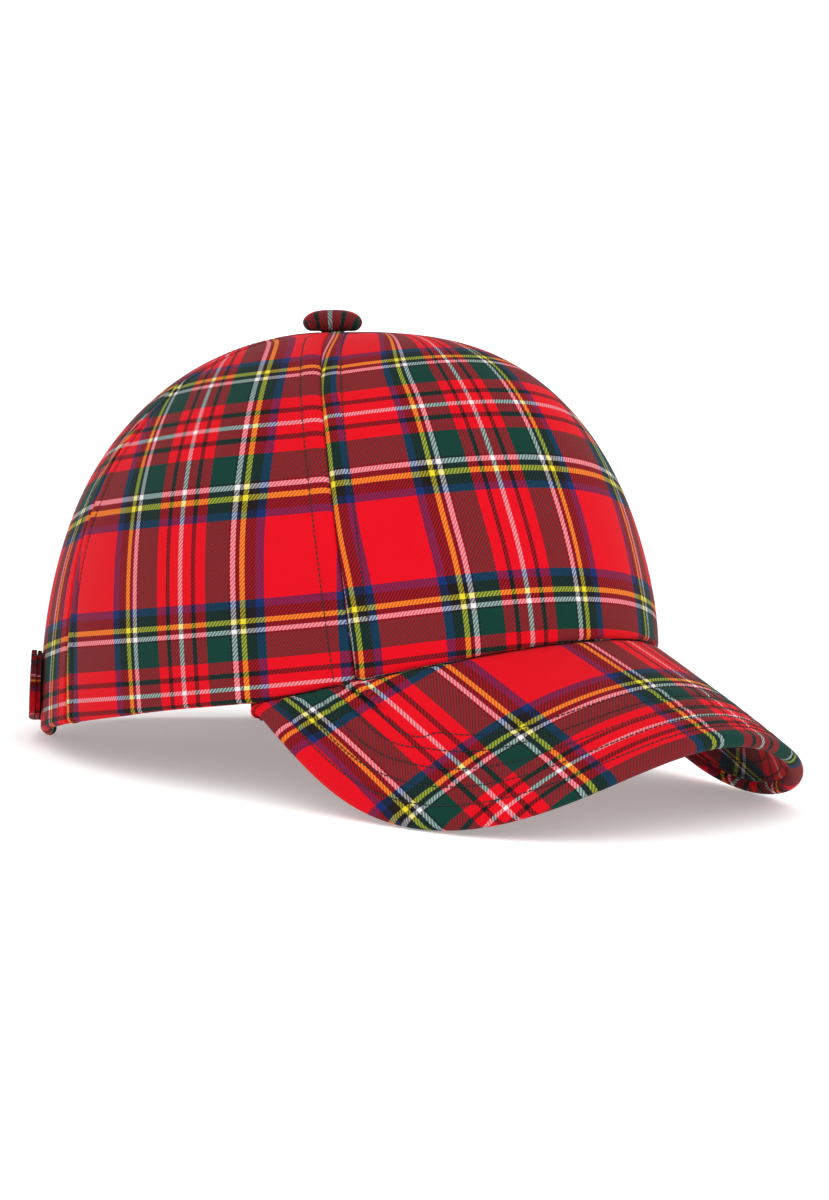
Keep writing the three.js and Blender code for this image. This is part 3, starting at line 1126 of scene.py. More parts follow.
@dataclass
class CrownPanel:
    """One panel of the crown: its cloth, turned-in hem and seam allowances, in millimetres.

    The hem's raw edge hugs the crown at the drops and clearances of `hug`. The rows rise through
    `first_rows`, then evenly or with the arch, to `fixed_height`; above it they share what is
    left of the panel.
    """

    name: str
    node: str
    form: CapForm
    side: Side
    start: EdgeLine
    end: EdgeLine
    grain: Grain
    open_at_back: bool = False
    middle_columns: int = 20
    upper_rows: int = 44
    thickness: float = 1.0
    hem_depth: float = 14.0
    hem_radius: float = 1.65
    hug: tuple[tuple[float, float], ...] = (
        (0, 1.25), (0.5, 0.95), (1.2, 0.55), (2.4, 0.15), (4.6, 0), (7.2, 0), (9.8, 0),
    )
    first_rows: tuple[float, ...] = (2.4, 3.4, 4.8, 6.4, 8.2, 10, 12, 14)
    next_row: float = 16.5
    fixed_height: float = 66.0
    opening: BackOpening = BackOpening()
    edge: SewnEdge = SewnEdge()
    narrow: float = 13.0
    allowance: float = 8.5
    allowance_gap: float = 0.06
    allowance_from: float = 24.0
    wobble: float = 0.22
    wave: tuple[float, float] = (31.0, 27.0)
    wave_from: tuple[float, float] = (2.0, 14.0)
    arch_zone: float = 147.0
    back_seam: float = 160.0
    back_stitch_gap: float = 6.5
    stitch_tightness: float = 0.72

    def path(self) -> tuple[np.ndarray, np.ndarray, np.ndarray, np.ndarray, np.ndarray]:
        """The cloth's way from the hem's raw edge, round the rim and up to the top.

        Returns:
            Per row: length up the crown, share of the upper part, depth under the face, turn of
            the cloth from facing out (0) to facing in (pi), and length on the flat cloth; all
            lengths in millimetres.
        """
        radius, depth = self.hem_radius, self.hem_radius * 2
        inner = [(self.hem_depth - drop, 0.0, depth - hug, math.pi) for drop, hug in self.hug]
        fold = [
            (radius * (1 - math.sin(turn)), 0.0, radius * (1 - math.cos(turn)), turn)
            for turn in np.linspace(math.pi, 0, 9)
        ]
        outer = [(length, 0.0, 0.0, 0.0) for length in self.lower_lengths()]
        shares = np.linspace(0, 1, self.upper_rows + 1)[1:]
        upper = [(self.fixed_height, share, 0.0, 0.0) for share in shares]
        rows = np.array(inner + fold + outer + upper)
        length, share, under, turn = rows.T
        flat = np.where(turn > 0, radius - radius * turn, length)
        flat = np.where(turn > math.pi - 1e-6, radius - radius * math.pi - (length - radius), flat)
        return length, share, under, turn, flat

    def lower_lengths(self) -> list[float]:
        """Row heights below the fixed height, crowded round the arch where there is one."""
        first = list(self.first_rows)
        if not self.open_at_back:
            return first + list(np.linspace(self.next_row, self.fixed_height, 21))
        top = self.opening.height
        rising = [top * math.sin(step * math.pi / 32) for step in range(3, 17)]
        rising = [height for height in rising if height > self.next_row - 1]
        above = [top + step for step in self.edge.near[1:]]
        return first + rising + above + [self.fixed_height]

    def lengths(self, bearing: np.ndarray, base: np.ndarray, share: np.ndarray) -> np.ndarray:
        """Lengths up the crown of rows at bearings, in metres."""
        spare = (self.opening.height - base) / (self.opening.height - self.hem_depth)
        fixed = base * MM + self.form.hem(bearing) * np.clip(spare, 0, 1)
        return fixed + (self.form.total(bearing) - self.fixed_height * MM) * share

    def walk_row(
        self, start: float, end: float, base: float, share: float
    ) -> tuple[np.ndarray, np.ndarray]:
        """Walk along a row from one bearing to another.

        Args:
            start: first bearing.
            end: last bearing.
            base: the row's height below the fixed height, in millimetres.
            share: the row's share of the upper part.

        Returns:
            Bearings along the row and the lengths walked to them, in metres.
        """
        line = start + (end - start) * np.linspace(0, 1, SAMPLES)
        length = self.lengths(line, np.full(SAMPLES, base), np.full(SAMPLES, share))
        return line, walk(self.form.crown(line, self.form.lift_at(line, length)))

    def row_ends(self, base: float, share: float) -> tuple[float, float]:
        """Bearings of a row's two ends, found in three steps."""
        middle = 0.0
        for _ in range(3):
            guess = self.lengths(np.array([middle]), np.array([base]), np.array([share]))
            start, end = float(self.start(guess)[0]), float(self.end(guess)[0])
            middle = (start + end) / 2
        return start, end

    def lay_out(self) -> dict[str, np.ndarray]:
        """Place every vertex of the panel.

        Returns:
            Arrays of rows by columns: bearing, length up the face in metres, and in millimetres
            the distance across from the cloth's middle line, the distance from the nearest seam,
            the depth under the face and the length on the flat cloth; the turn of the cloth; and
            how tightly each row's seam columns are drawn together.
        """
        base, share, under, turn, flat = self.path()
        near = np.array(self.edge.near)
        steps = np.arange(1, self.middle_columns + 1) / self.middle_columns
        bearing, across, distance, tightness = [], [], [], []
        for row_base, row_share in zip(base, share):
            start, end = self.row_ends(row_base, row_share)
            line, walked = self.walk_row(start, end, row_base, row_share)
            width = walked[-1] / MM
            tight = min(1.0, width / 2 / self.narrow)
            edge = near * tight
            half = np.concatenate([edge, edge[-1] + (width / 2 - edge[-1]) * steps])
            places = np.concatenate([half, width - half[-2::-1]])
            middle = self.middle(row_base, row_share, start, end, width)
            bearing.append(np.interp(places * MM, walked, line)[::-1])
            across.append((places - middle)[::-1])
            distance.append(np.minimum(places, width - places)[::-1])
            tightness.append([tight])
        bearing, across, distance, tightness = map(
            np.array, (bearing, across, distance, tightness)
        )
        length = self.lengths(bearing, base[:, None], share[:, None])
        return {
            "bearing": bearing,
            "length": length,
            "across": across,
            "distance": distance,
            "tight": tightness,
            "under": np.broadcast_to(under[:, None], bearing.shape),
            "turn": np.broadcast_to(turn[:, None], bearing.shape),
            "flat": np.where(share > 0, 0, flat - base)[:, None] + length / MM,
        }

    def middle(self, base: float, share: float, start: float, end: float, width: float) -> float:
        """Find the cloth's middle line, as if a back panel ran on to the back seam.

        Args:
            base: the row's height below the fixed height, in millimetres.
            share: the row's share of the upper part.
            start: the row's first bearing.
            end: the row's last bearing.
            width: the row's width, in millimetres.

        Returns:
            Distance of the middle line from the row's start, in millimetres.
        """
        if not self.open_at_back:
            return width / 2
        right = self.side is Side.RIGHT
        ends = (start, math.pi) if right else (-math.pi, end)
        full = self.walk_row(*ends, base, share)[1][-1] / MM
        return full / 2 if right else width - full / 2

    def relief(self, plan: dict[str, np.ndarray]) -> np.ndarray:
        """Height of the cloth over the plain face from seams, stitching and slack, in mm."""
        tight = plan["tight"]
        relief = self.edge.relief(plan["distance"] / tight) * tight
        if self.open_at_back:
            away = self.opening.distance(self.form, plan["bearing"], plan["length"])
            arch = self.edge.relief(away)
            below = plan["length"] < self.opening.height * MM
            toward_back = np.abs(plan["bearing"]) > math.radians(self.arch_zone)
            relief = np.where(below & toward_back, arch, np.minimum(relief, arch))
        along, up = plan["across"] / self.wave[0], plan["length"] / MM / self.wave[1]
        phase = 1.7 * abs(float(plan["bearing"].mean()))
        waves = np.sin(along * 2.1 + 1.3 * np.sin(up + phase)) * np.sin(up * 1.9 + phase * 2)
        return relief + self.wobble * waves * ramp(plan["distance"], *self.wave_from)

    def face(self, plan: dict[str, np.ndarray], sunk: float = 0.0) -> np.ndarray:
        """Points of the cloth's outer face.

        Args:
            plan: the panel's layout.
            sunk: how far under the face to go, in millimetres.

        Returns:
            The points, in metres.
        """
        point, outward, up = self.form.frame_at(plan["bearing"], plan["length"])
        turn = plan["turn"][..., None]
        facing = outward * np.cos(turn) - up * np.sin(turn)
        relief = (self.relief(plan) - sunk)[..., None] * MM
        return point - outward * plan["under"][..., None] * MM + facing * relief

    def cloth(self, plan: dict[str, np.ndarray]) -> np.ndarray:
        """Cloth coordinates of the panel's layout, mirrored for the left side."""
        sign = self.side.value
        laid = self.grain.lay(plan["across"] * MM * sign, plan["flat"] * MM)
        laid[..., 0] *= sign
        return laid

    def strips(self, plan: dict[str, np.ndarray]) -> list[bpy.types.Object]:
        """Make the seam allowances pressed open on the inside, one down each edge.

        Args:
            plan: the panel's layout.

        Returns:
            The two strips.
        """
        above_hem = plan["length"][:, 0] > self.allowance_from * MM
        rows = np.flatnonzero((plan["turn"][:, 0] == 0) & above_hem)
        last = len(self.edge.near)
        pieces = []
        for columns in (np.arange(1, last + 1), np.arange(-last - 1, -1)):
            part = {key: value[rows] for key, value in plan.items()}
            part = {
                key: value if value.shape[1] == 1 else value[:, columns]
                for key, value in part.items()
            }
            points = self.face(part, sunk=self.thickness + self.allowance_gap)
            pieces.append(cloth_grid(self.name + "_allowance", points, self.cloth(part)))
        return pieces

    def build(self) -> tuple[bpy.types.Object, np.ndarray, Rows]:
        """Make the panel.

        Returns:
            The piece, its flat shape, and its rows of points and directions for topstitching.
        """
        plan = self.lay_out()
        points = self.face(plan)
        sheet = cloth_grid(self.name + "_cloth", points, self.cloth(plan))
        piece = join(self.name + "_cloth", [sheet, *self.strips(plan)])
        thicken(piece, self.thickness * MM)
        smooth(piece)
        normals = grid_normals(points)
        wide = plan["tight"][:, 0] > self.stitch_tightness
        outside = np.flatnonzero((plan["turn"][:, 0] == 0) & wide)
        column = self.edge.stitch_column
        above_arch = (self.opening.height + self.back_stitch_gap) * MM
        rows = []
        for place in (column, -1 - column):
            keep = outside
            at_back = abs(plan["bearing"][-30, place]) > math.radians(self.back_seam)
            if self.open_at_back and at_back:
                keep = outside[plan["length"][outside, place] > above_arch]
            rows.append((points[keep, place], normals[keep, place]))
        if self.open_at_back:
            rows.append(self.opening.stitch_row(self.form, self.side, self.edge.dimple))
        flat = np.stack([plan["across"], plan["flat"]], axis=-1) * MM
        return piece, flat, rows


def mirrored(edge: EdgeLine) -> EdgeLine:
    """The same edge on the cap's other side."""
    return lambda length: -edge(length)


@dataclass
class Crown:
    """Five panels sewn to each other, with their topstitching."""

    form: CapForm
    front_seam: Seam = Seam(48.3, 8.6, -1.2)
    side_seam: Seam = Seam(113.0, 4.0, -1.0)
    opening: BackOpening = BackOpening()
    front_grain: Grain = Grain(warp_start=12.45, top_gather=4.0e-4, pull=2.2)
    side_grain: Grain = Grain(
        scale=0.85, centre=-3.4, drift=0.0031, drift_from=55.0, gather=7e-5, gather_from=60.0,
        rise=45.1, tilt=0.112, tilt_growth=0.0006, level_at=0.0,
    )
    back_grain: Grain = Grain(
        centre=-20.0, drift=0.0, gather=7e-5, gather_from=60.0, rise=53.0, tilt=0.06,
        tilt_growth=0.0, level_at=-28.8,
    )

    def panels(self) -> list[CrownPanel]:
        """Cut the five panels, each between two seams or a seam and the back opening.

        Returns:
            The panels, ready to be built.
        """
        form, right, left = self.form, Side.RIGHT, Side.LEFT
        front = partial(self.front_seam.bearing, form)
        side = partial(self.side_seam.bearing, form)
        back = partial(self.opening.edge, form)
        cuts = [
            ("front", "front_panel", right, mirrored(front), front, self.front_grain),
            ("right_side", "right_side_panel", right, front, side, self.side_grain),
            ("left_side", "left_side_panel", left, mirrored(side), mirrored(front), self.side_grain),
            ("right_back", "right_back_panel", right, side, back, self.back_grain),
            ("left_back", "left_back_panel", left, mirrored(back), mirrored(side), self.back_grain),
        ]
        panels = [
            CrownPanel(name, node, form, half, start, end, grain, open_at_back="back" in name)
            for name, node, half, start, end, grain in cuts
        ]
        panels[0].middle_columns = 34
        return panels

    def build(
        self, groups: dict[str, bpy.types.NodeTree], stitching: Stitching, thread: SewingThread
    ) -> list[bpy.types.Object]:
        """Make the panels and their topstitching.

        Args:
            groups: the shared node groups.
            stitching: the shape of the stitches.
            thread: the finish of the stitches.

        Returns:
            The pieces.
        """
        cloth = TartanCloth("crown_tartan")
        pieces = []
        for panel in self.panels():
            piece, flat, rows = panel.build()
            cloth.dress(piece, groups)
            finish_piece(piece, "tartan_cloth", panel.node)
            strips = 2 * panel.allowance * np.ptp(flat[..., 1]) * MM
            declare_cloth(piece, flat, strips)
            sewn = stitching.sew(panel.name + "_stitches", rows, thread)
            finish_piece(sewn, "tartan_cloth")
            pieces += [piece, sewn]
        return pieces


def unrolled(points: np.ndarray) -> np.ndarray:
    """Flat places of a sheet that bends one way only: lengths along its middle row and column."""
    row, column = points[len(points) // 2], points[:, points.shape[1] // 2]
    return np.stack(np.meshgrid(walk(row), walk(column)), axis=-1)


def declare_flat(
    piece: bpy.types.Object, width: float, length: float, area: float
) -> None:
    """Give the size that a piece's cloth has when it lies flat.

    Args:
        piece: the sewn piece.
        width: width of the flat cloth, in metres.
        length: length of the flat cloth, in metres.
        area: its area, in square metres.
    """
    sizes = (width / MM, length / MM, area * 10000)
    LOG.info("%s: flat %.1f by %.1f mm, %.1f cm2", piece.name, *sizes)


def declare_cloth(
    piece: bpy.types.Object, flat: np.ndarray, allowances: float = 0.0
) -> None:
    """Measure a piece's flat cloth and give its size.

    Args:
        piece: the sewn piece.
        flat: places of the grid's vertices on the flat cloth, in metres, rows by columns by 2.
        allowances: area of the seam allowances, in square metres.
    """
    rising, crossing = flat[1:, 1:] - flat[:-1, :-1], flat[1:, :-1] - flat[:-1, 1:]
    cells = np.abs(rising[..., 0] * crossing[..., 1] - rising[..., 1] * crossing[..., 0]) / 2
    area = float(cells.sum()) + allowances
    spans = flat.reshape(-1, 2).max(axis=0) - flat.reshape(-1, 2).min(axis=0)
    width, length = (float(part) for part in spans)
    grow = max(1.0, math.sqrt(area / (width * length)))
    declare_flat(piece, width * grow, length * grow, area)


def finish_piece(piece: bpy.types.Object, slot: str, *nodes: str) -> None:
    """Fix a finished piece to the cap's body and hide the frame's parts that it stands for.

    Args:
        piece: the piece, still in the drawing frame.
        slot: name of a material slot; not used.
        nodes: the frame's nodes that it stands for.
    """
    Stance().stand(piece)
    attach(piece, "root")
    if nodes:
        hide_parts(*nodes)
    LOG.info("%s: %d faces", piece.name, len(piece.data.polygons))


# ---------------------------------------------------------------- visor


@dataclass
class Visor:
    """The arched visor: a top cloth that wraps round the edge, an under cloth, stitched rows.

    Sizes are in millimetres, bearings in degrees. Seen from above, the free edge is a smooth
    curve pulled by two points on each side. The arch falls away from a sloping ridge as an
    ellipse does, and near the rim it is drawn in to the crown's seat. Rows follow the edge to
    `ring_reach` and head for the root from there.
    """

    form: CapForm
    slope: float = 0.42
    slope_growth: float = 0.001
    arch_half_width: float = 74.5
    arch_narrowing: float = 0.04
    arch_depth: float = 75.9
    arch_deepening: float = 0.27
    blend: float = 14.0
    front_pull: float = 48.0
    side_pull: float = 78.5
    side_reach: float = 131.0
    root_bearing: float = 62.0
    root_taper: float = 5.0
    root_inset: float = 3.6
    seat_gap: float = 0.55
    steepest: float = 0.985
    side_fall: float = 2.5
    half_thickness: float = 2.0
    cloth: float = 0.9
    wrap: float = 4.2
    stitch_rows: tuple[float, ...] = (6.5, 12.0, 17.5, 23.0, 28.5)
    dimple: float = 0.32
    dimple_width: float = 0.7
    fullness: float = 0.1
    fullness_width: float = 1.6
    fullness_place: float = 2.75
    proud: float = 0.08
    ring_reach: float = 31.0
    ring_share: float = 0.65
    half_columns: int = 64
    root_rows: int = 18
    step: float = 0.5
    steps: int = 240
    warp_scale: float = 0.96
    warp_start: float = 26.2
    section_ahead: float = 15.0
    pull_from: float = 60.0
    pull_share: float = 0.057
    pull_growth: float = 0.0015
    pull_ahead: tuple[float, float] = (-60.0, 38.0)
    weft_start: float = -3.95
    weft_stretch: float = 0.0022
    fall_share: float = 0.58
    side_climb: float = 0.0027
    flat_ease: float = 1.25
    shares: np.ndarray = field(init=False, repr=False)
    edge_points: np.ndarray = field(init=False, repr=False)
    reaches: np.ndarray = field(init=False, repr=False)
    rays: np.ndarray = field(init=False, repr=False)

    def __post_init__(self) -> None:
        """Draw the free edge and measure distances inwards from it."""
        self.shares, self.edge_points = self.edge()
        self.march()

    def arch(self, x: np.ndarray, ahead: np.ndarray) -> np.ndarray:
        """Height of the arch before it is drawn in to the rim, in millimetres."""
        ridge = float(self.form.rim_height(np.zeros(1))[0]) / MM
        ridge = ridge - self.slope * ahead - self.slope_growth * ahead**2
        return ridge - self.drop(x, ahead)

    def drop(self, x: np.ndarray, ahead: np.ndarray) -> np.ndarray:
        """How far the arch falls from its ridge, in millimetres."""
        half_width = self.arch_half_width - self.arch_narrowing * ahead
        depth = self.arch_depth + self.arch_deepening * ahead
        share = np.minimum(np.abs(x) / half_width, self.steepest)
        return depth * (1 - np.sqrt(1 - share**2))

    def hang(self, x: np.ndarray, ahead: np.ndarray) -> np.ndarray:
        """The arch's fall as the cloth follows it, carried on past the arch's sides."""
        half_width = self.arch_half_width - self.arch_narrowing * ahead
        past = np.maximum(np.abs(x) - self.steepest * half_width, 0)
        return self.drop(x, ahead) + self.side_fall * past

    def reach(self, plan: np.ndarray, inset: float = 0.0) -> np.ndarray:
        """Where a place is against the rim seen from above: 1 on it, less inside."""
        width, length = self.form.rim_width / MM, self.form.rim_length / MM
        return np.hypot(plan[..., 0] / (width - inset), plan[..., 1] / (length - inset))

    def surface(self, plan: np.ndarray) -> np.ndarray:
        """Top face of the visor in the drawing frame.

        Args:
            plan: places seen from above, in millimetres.

        Returns:
            Points over them, at the seat's height where they are inside the rim.
        """
        width, length = self.form.rim_width / MM, self.form.rim_length / MM
        x, y = plan[..., 0], plan[..., 1]
        bearing = np.arctan2(-x / width, -y / length)
        reach = self.reach(plan)
        seat = self.form.rim_height(bearing) / MM - self.seat_gap
        rim_x, rim_y = -width * np.sin(bearing), -length * np.cos(bearing)
        correction = seat - self.arch(rim_x, -rim_y - length)
        clear = (reach - 1) * width / self.blend
        height = self.arch(x, -y - length) + correction * np.exp(-(clear**2))
        return np.stack([x, y, np.where(reach <= 1, seat, height)], axis=-1)

    def normals(self, plan: np.ndarray) -> np.ndarray:
        """Outward directions of the top face over places seen from above."""
        step = self.step
        across = self.surface(plan + [step, 0]) - self.surface(plan - [step, 0])
        along = self.surface(plan + [0, step]) - self.surface(plan - [0, step])
        return unit(np.cross(across, along))

    def edge(self) -> tuple[np.ndarray, np.ndarray]:
        """Draw the free edge seen from above, from the right root round to the left one.

        Returns:
            Each column's share of the way from the front to a root, and its place on the edge.
        """
        turn = math.radians(self.root_bearing + self.root_taper)
        width, length = self.form.rim_width / MM, self.form.rim_length / MM
        reach = self.form.visor_reach / MM
        ends = np.array(
            [
                (0, -reach),
                (-self.front_pull, -reach),
                (-self.side_pull, -self.side_reach),
                (-width * math.sin(turn), -length * math.cos(turn)),
            ]
        )
        t = np.linspace(0, 1, 400)[:, None]
        weights = ((1 - t) ** 3, 3 * t * (1 - t) ** 2, 3 * t**2 * (1 - t), t**3)
        curve = sum(weight * end for weight, end in zip(weights, ends))
        walked = walk(curve)
        shares = np.linspace(0, 1, self.half_columns + 1)
        places = shares * walked[-1]
        half = np.stack([np.interp(places, walked, curve[:, k]) for k in (0, 1)], axis=-1)
        mirrored = half[1:] * np.array([-1, 1])
        return np.concatenate([-shares[::-1], shares[1:]]), np.concatenate([half[::-1], mirrored])

    def march(self) -> None:
        """Walk inwards from the edge over the face and keep the way as rays."""
        plan = self.edge_points.copy()
        tangent = np.gradient(plan, axis=0)
        reach, short, centre = 0.4, 0.2, np.array([0, -80.0])
        slope = np.stack(
            [
                (self.surface(plan + shift)[..., 2] - self.surface(plan - shift)[..., 2]) / reach / 2
                for shift in (np.array([reach, 0]), np.array([0, reach]))
            ],
            axis=-1,
        )
        level = tangent + slope * (slope * tangent).sum(axis=-1, keepdims=True)
        inward = unit(np.stack([-level[:, 1], level[:, 0]], axis=-1))
        inward *= np.sign((inward * (centre - plan)).sum(axis=-1, keepdims=True))
        rays = [plan]
        for _ in range(self.steps):
            ahead = plan + inward * short
            stretch = np.linalg.norm(self.surface(ahead) - self.surface(plan), axis=-1) / short
            plan = plan + inward * (self.step / stretch)[:, None]
            rays.append(plan)
        self.rays = np.stack(rays, axis=1)
        inside = self.reach(self.rays, self.root_inset) < 1
        found = np.where(inside.any(axis=1), np.argmax(inside, axis=1), inside.shape[1] - 1)
        self.reaches = found * self.step

    def root(self) -> np.ndarray:
        """Root line under the hem, one place per column."""
        turn = np.abs(self.shares) * math.radians(self.root_bearing)
        width = self.form.rim_width / MM - self.root_inset
        length = self.form.rim_length / MM - self.root_inset
        return np.stack([np.sign(self.shares) * width * np.sin(turn), -length * np.cos(turn)], axis=-1)

    def along_rays(self, distance: np.ndarray) -> np.ndarray:
        """Places at distances from the edge, one distance per column."""
        place = np.clip(distance / self.step, 0, self.rays.shape[1] - 1.001)
        whole = place.astype(int)
        part = (place - whole)[:, None]
        column = np.arange(len(distance))
        return self.rays[column, whole] * (1 - part) + self.rays[column, whole + 1] * part

    def ring_limits(self) -> np.ndarray:
        """How far in each column follows its ray before it heads for the root."""
        return np.minimum(self.ring_reach, self.ring_share * self.reaches)

    def rows(self) -> list[float]:
        """Distances from the edge of the rows that follow it."""
        rows = [self.half_thickness, 2.6, 3.4, 4.4, 5.3]
        for place in self.stitch_rows:
            rows += [place + step for step in (-0.65, 0, 0.65, 1.8, self.fullness_place, 3.7)]
        return [row for row in rows if row <= self.ring_reach]

    def top_plan(self) -> tuple[np.ndarray, np.ndarray]:
        """Lay out the top face, its rows from the edge to the root.

        Returns:
            Places of the vertices seen from above and their distances from the edge.
        """
        limits = self.ring_limits()
        rows = np.array(self.rows())
        plan, distance = [], []
        for row in rows:
            share = (row - rows[0]) / (self.ring_reach - rows[0])
            here = rows[0] + share * (limits - rows[0])
            plan.append(self.along_rays(here))
            distance.append(here)
        start = plan[-1]
        root = self.root()
        for share in np.linspace(0, 1, self.root_rows + 1)[1:]:
            plan.append(start + (root - start) * share)
            distance.append(limits + (self.reaches - limits) * share)
        return np.array(plan), np.array(distance)

    def relief(self, distance: np.ndarray) -> np.ndarray:
        """Dimples along the stitched rows with slight fullness between, in millimetres."""
        pulls = sum(bump(distance, place, self.dimple_width) for place in self.stitch_rows)
        full = sum(
            bump(distance, place + self.fullness_place, self.fullness_width)
            for place in self.stitch_rows
        )
        relief = self.fullness * full - self.dimple * pulls
        return relief * ramp(self.ring_limits(), 14, self.ring_reach)

    def cloth_at(self, plan: np.ndarray) -> np.ndarray:
        """Lay the cloth's pattern on the visor.

        The warp runs round the arch's section and is pulled in past a distance from the ridge,
        more so towards the crown. The weft runs ahead, with a share of the arch's fall.

        Args:
            plan: places seen from above, in millimetres.

        Returns:
            Cloth coordinates in metres.
        """
        x = plan[..., 0]
        ahead = -plan[..., 1] - self.form.rim_length / MM
        sample = np.linspace(0, 80, 321)
        section = self.hang(sample, np.full_like(sample, self.section_ahead))
        arc = walk(np.stack([sample, section], axis=-1))
        around = np.interp(np.abs(x), sample, arc)
        far = np.maximum(around - self.pull_from, 0)
        pulled = far * (self.pull_share - self.pull_growth * np.clip(ahead, *self.pull_ahead))
        warp = self.warp_scale * (np.sign(x) * around + self.warp_start) - np.sign(x) * pulled
        fall = ahead + self.fall_share * self.hang(x, ahead)
        weft = fall + self.weft_stretch * np.maximum(fall, 0) ** 2 + self.weft_start
        weft = weft + self.side_climb * far * np.clip(self.section_ahead - ahead, 0, 60)
        return np.stack([warp, weft], axis=-1) * MM

    def faces(self) -> dict[str, np.ndarray]:
        """Shape the top face, the rolled edge and the under face.

        Returns:
            The top face's plan, distances from the edge and outward directions, and the points
            of the top, the roll with its turns, and the under face, in millimetres.
        """
        plan, distance = self.top_plan()
        plain = self.surface(plan)
        outward = self.normals(plan)
        top = plain + outward * self.relief(distance)[..., None]
        radius = self.half_thickness
        rim = self.surface(self.edge_points)
        centre, normal = plain[0], outward[0]
        ahead = rim - centre
        ahead = unit(ahead - normal * (ahead * normal).sum(axis=-1, keepdims=True))
        turns = np.linspace(math.pi, 0, 10)[:-1]
        roll = np.array(
            [
                centre + ahead * radius * math.sin(turn) - normal * radius * (1 - math.cos(turn))
                for turn in turns
            ]
        )
        return {
            "plan": plan, "distance": distance, "outward": outward, "top": top,
            "roll": roll, "turns": turns, "under": plain - outward * 2 * radius,
        }

    def sheet(self, name: str, points: np.ndarray, cloth: np.ndarray) -> bpy.types.Object:
        """Make one of the visor's cloths from its face.

        Args:
            name: name of the piece.
            points: places of the face's vertices, in millimetres.
            cloth: their cloth coordinates, in metres.

        Returns:
            The cloth with its thickness.
        """
        piece = cloth_grid(name, points * MM, cloth)
        thicken(piece, self.cloth * MM)
        smooth(piece)
        return piece

    def build_top(self, faces: dict[str, np.ndarray]) -> bpy.types.Object:
        """Make the top cloth, from its seam under the edge, round the edge, to the root.

        Args:
            faces: the visor's faces.

        Returns:
            The piece.
        """
        radius = self.half_thickness
        distances = faces["distance"][:, len(self.shares) // 2]
        wrapped = np.flatnonzero((distances > radius) & (distances <= self.wrap + 0.3))[::-1]
        lip = faces["under"][wrapped]
        lip[0] += faces["outward"][wrapped[0]] * 0.9
        lip[1] += faces["outward"][wrapped[1]] * 0.15
        points = np.concatenate([lip, faces["roll"], faces["top"]])
        cloth_top = self.cloth_at(faces["plan"])
        edge = self.cloth_at(self.edge_points)
        away = unit(edge - cloth_top[0])
        rolled = np.array([cloth_top[0] + away * radius * turn * MM for turn in faces["turns"]])
        lipped = np.array([rolled[0] + away * (distances[row] - radius) * MM for row in wrapped])
        cloth = np.concatenate([lipped, rolled, cloth_top])
        return self.sheet("visor_top_cloth", points, cloth)

    def build_under(self, faces: dict[str, np.ndarray]) -> bpy.types.Object:
        """Make the under cloth, sewn to the top cloth's lip and closed at the root.

        Args:
            faces: the visor's faces.

        Returns:
            The piece.
        """
        distances = faces["distance"][:, len(self.shares) // 2]
        rows = np.flatnonzero(distances > self.wrap)
        relief = -0.5 * self.relief(faces["distance"][rows])
        points = faces["under"][rows] + faces["outward"][rows] * relief[..., None]
        points[0] += faces["outward"][rows[0]] * 0.9
        points[1] += faces["outward"][rows[1]] * 0.1
        closed = [
            points[-1] + faces["outward"][-1] * lift - self.inward_at_root() * back
            for lift, back in ((0.5, 0.35), (1.3, 0.6), (2.4, 0.65), (2.9, 0.4))
        ]
        points = np.concatenate([points, closed])[::-1]
        cloth = self.cloth_at(faces["plan"][rows])
        cloth = np.concatenate([cloth, np.repeat(cloth[-1:], len(closed), axis=0)])[::-1]
        return self.sheet("visor_under_cloth", points, cloth)

    def declare(self, piece: bpy.types.Object) -> None:
        """Give a visor cloth's flat size: its own area, in the box of its eased outline.

        Args:
            piece: the sewn piece.
        """
        across = float(np.ptp(self.cloth_at(self.edge_points)[:, 0])) / self.warp_scale
        length = float(np.ptp(self.edge_points[:, 1] * MM)) * self.flat_ease
        area = float(sum(face.area for face in piece.data.polygons)) / 2
        declare_flat(piece, across, length, area)

    def inward_at_root(self) -> np.ndarray:
        """Level directions from the root towards the front."""
        root = self.root()
        return np.concatenate([unit(root), np.zeros((len(root), 1))], axis=-1)

    def stitch_lines(self) -> Rows:
        """Find the rows of topstitching on the top face and their twins on the under face.

        Returns:
            Each row's points, in metres, and outward directions.
        """
        lines = []
        for place in self.stitch_rows:
            plan = self.along_rays(np.full(len(self.shares), place))
            keep = (self.reaches > place + 1) & (self.reach(plan) > 1.004)
            first, last = np.flatnonzero(keep)[[0, -1]]
            plan = plan[first : last + 1]
            plain = self.surface(plan)
            normal = self.normals(plan)
            relief = self.relief(np.full(len(self.shares), place))[first : last + 1, None]
            below = 2 * self.half_thickness + 0.5 * relief + self.proud
            lines.append(((plain + normal * (relief + self.proud)) * MM, normal))
            lines.append(((plain - normal * below) * MM, -normal))
        return lines

    def build(
        self, groups: dict[str, bpy.types.NodeTree], stitching: Stitching, thread: SewingThread
    ) -> list[bpy.types.Object]:
        """Make the visor's pieces.

        Args:
            groups: the shared node groups.
            stitching: the shape of the stitches.
            thread: the finish of the stitches.

        Returns:
            The pieces.
        """
        faces = self.faces()
        top, under = self.build_top(faces), self.build_under(faces)
        TartanCloth("visor_tartan", weave="visor").dress(top, groups)
        # painted shade: the under cloth is the same tartan at half its colour
        TartanCloth("visor_under_shaded_tartan", depth=0.5, weave="visor").dress(under, groups)
        finish_piece(top, "visor_cloth", "visor_top")
        finish_piece(under, "visor_cloth", "visor_under")
        self.declare(top)
        self.declare(under)
        sewn = stitching.sew("visor_stitches", self.stitch_lines(), thread)
        finish_piece(sewn, "visor_cloth")
        return [top, under, sewn]


# ---------------------------------------------------------------- button and strap


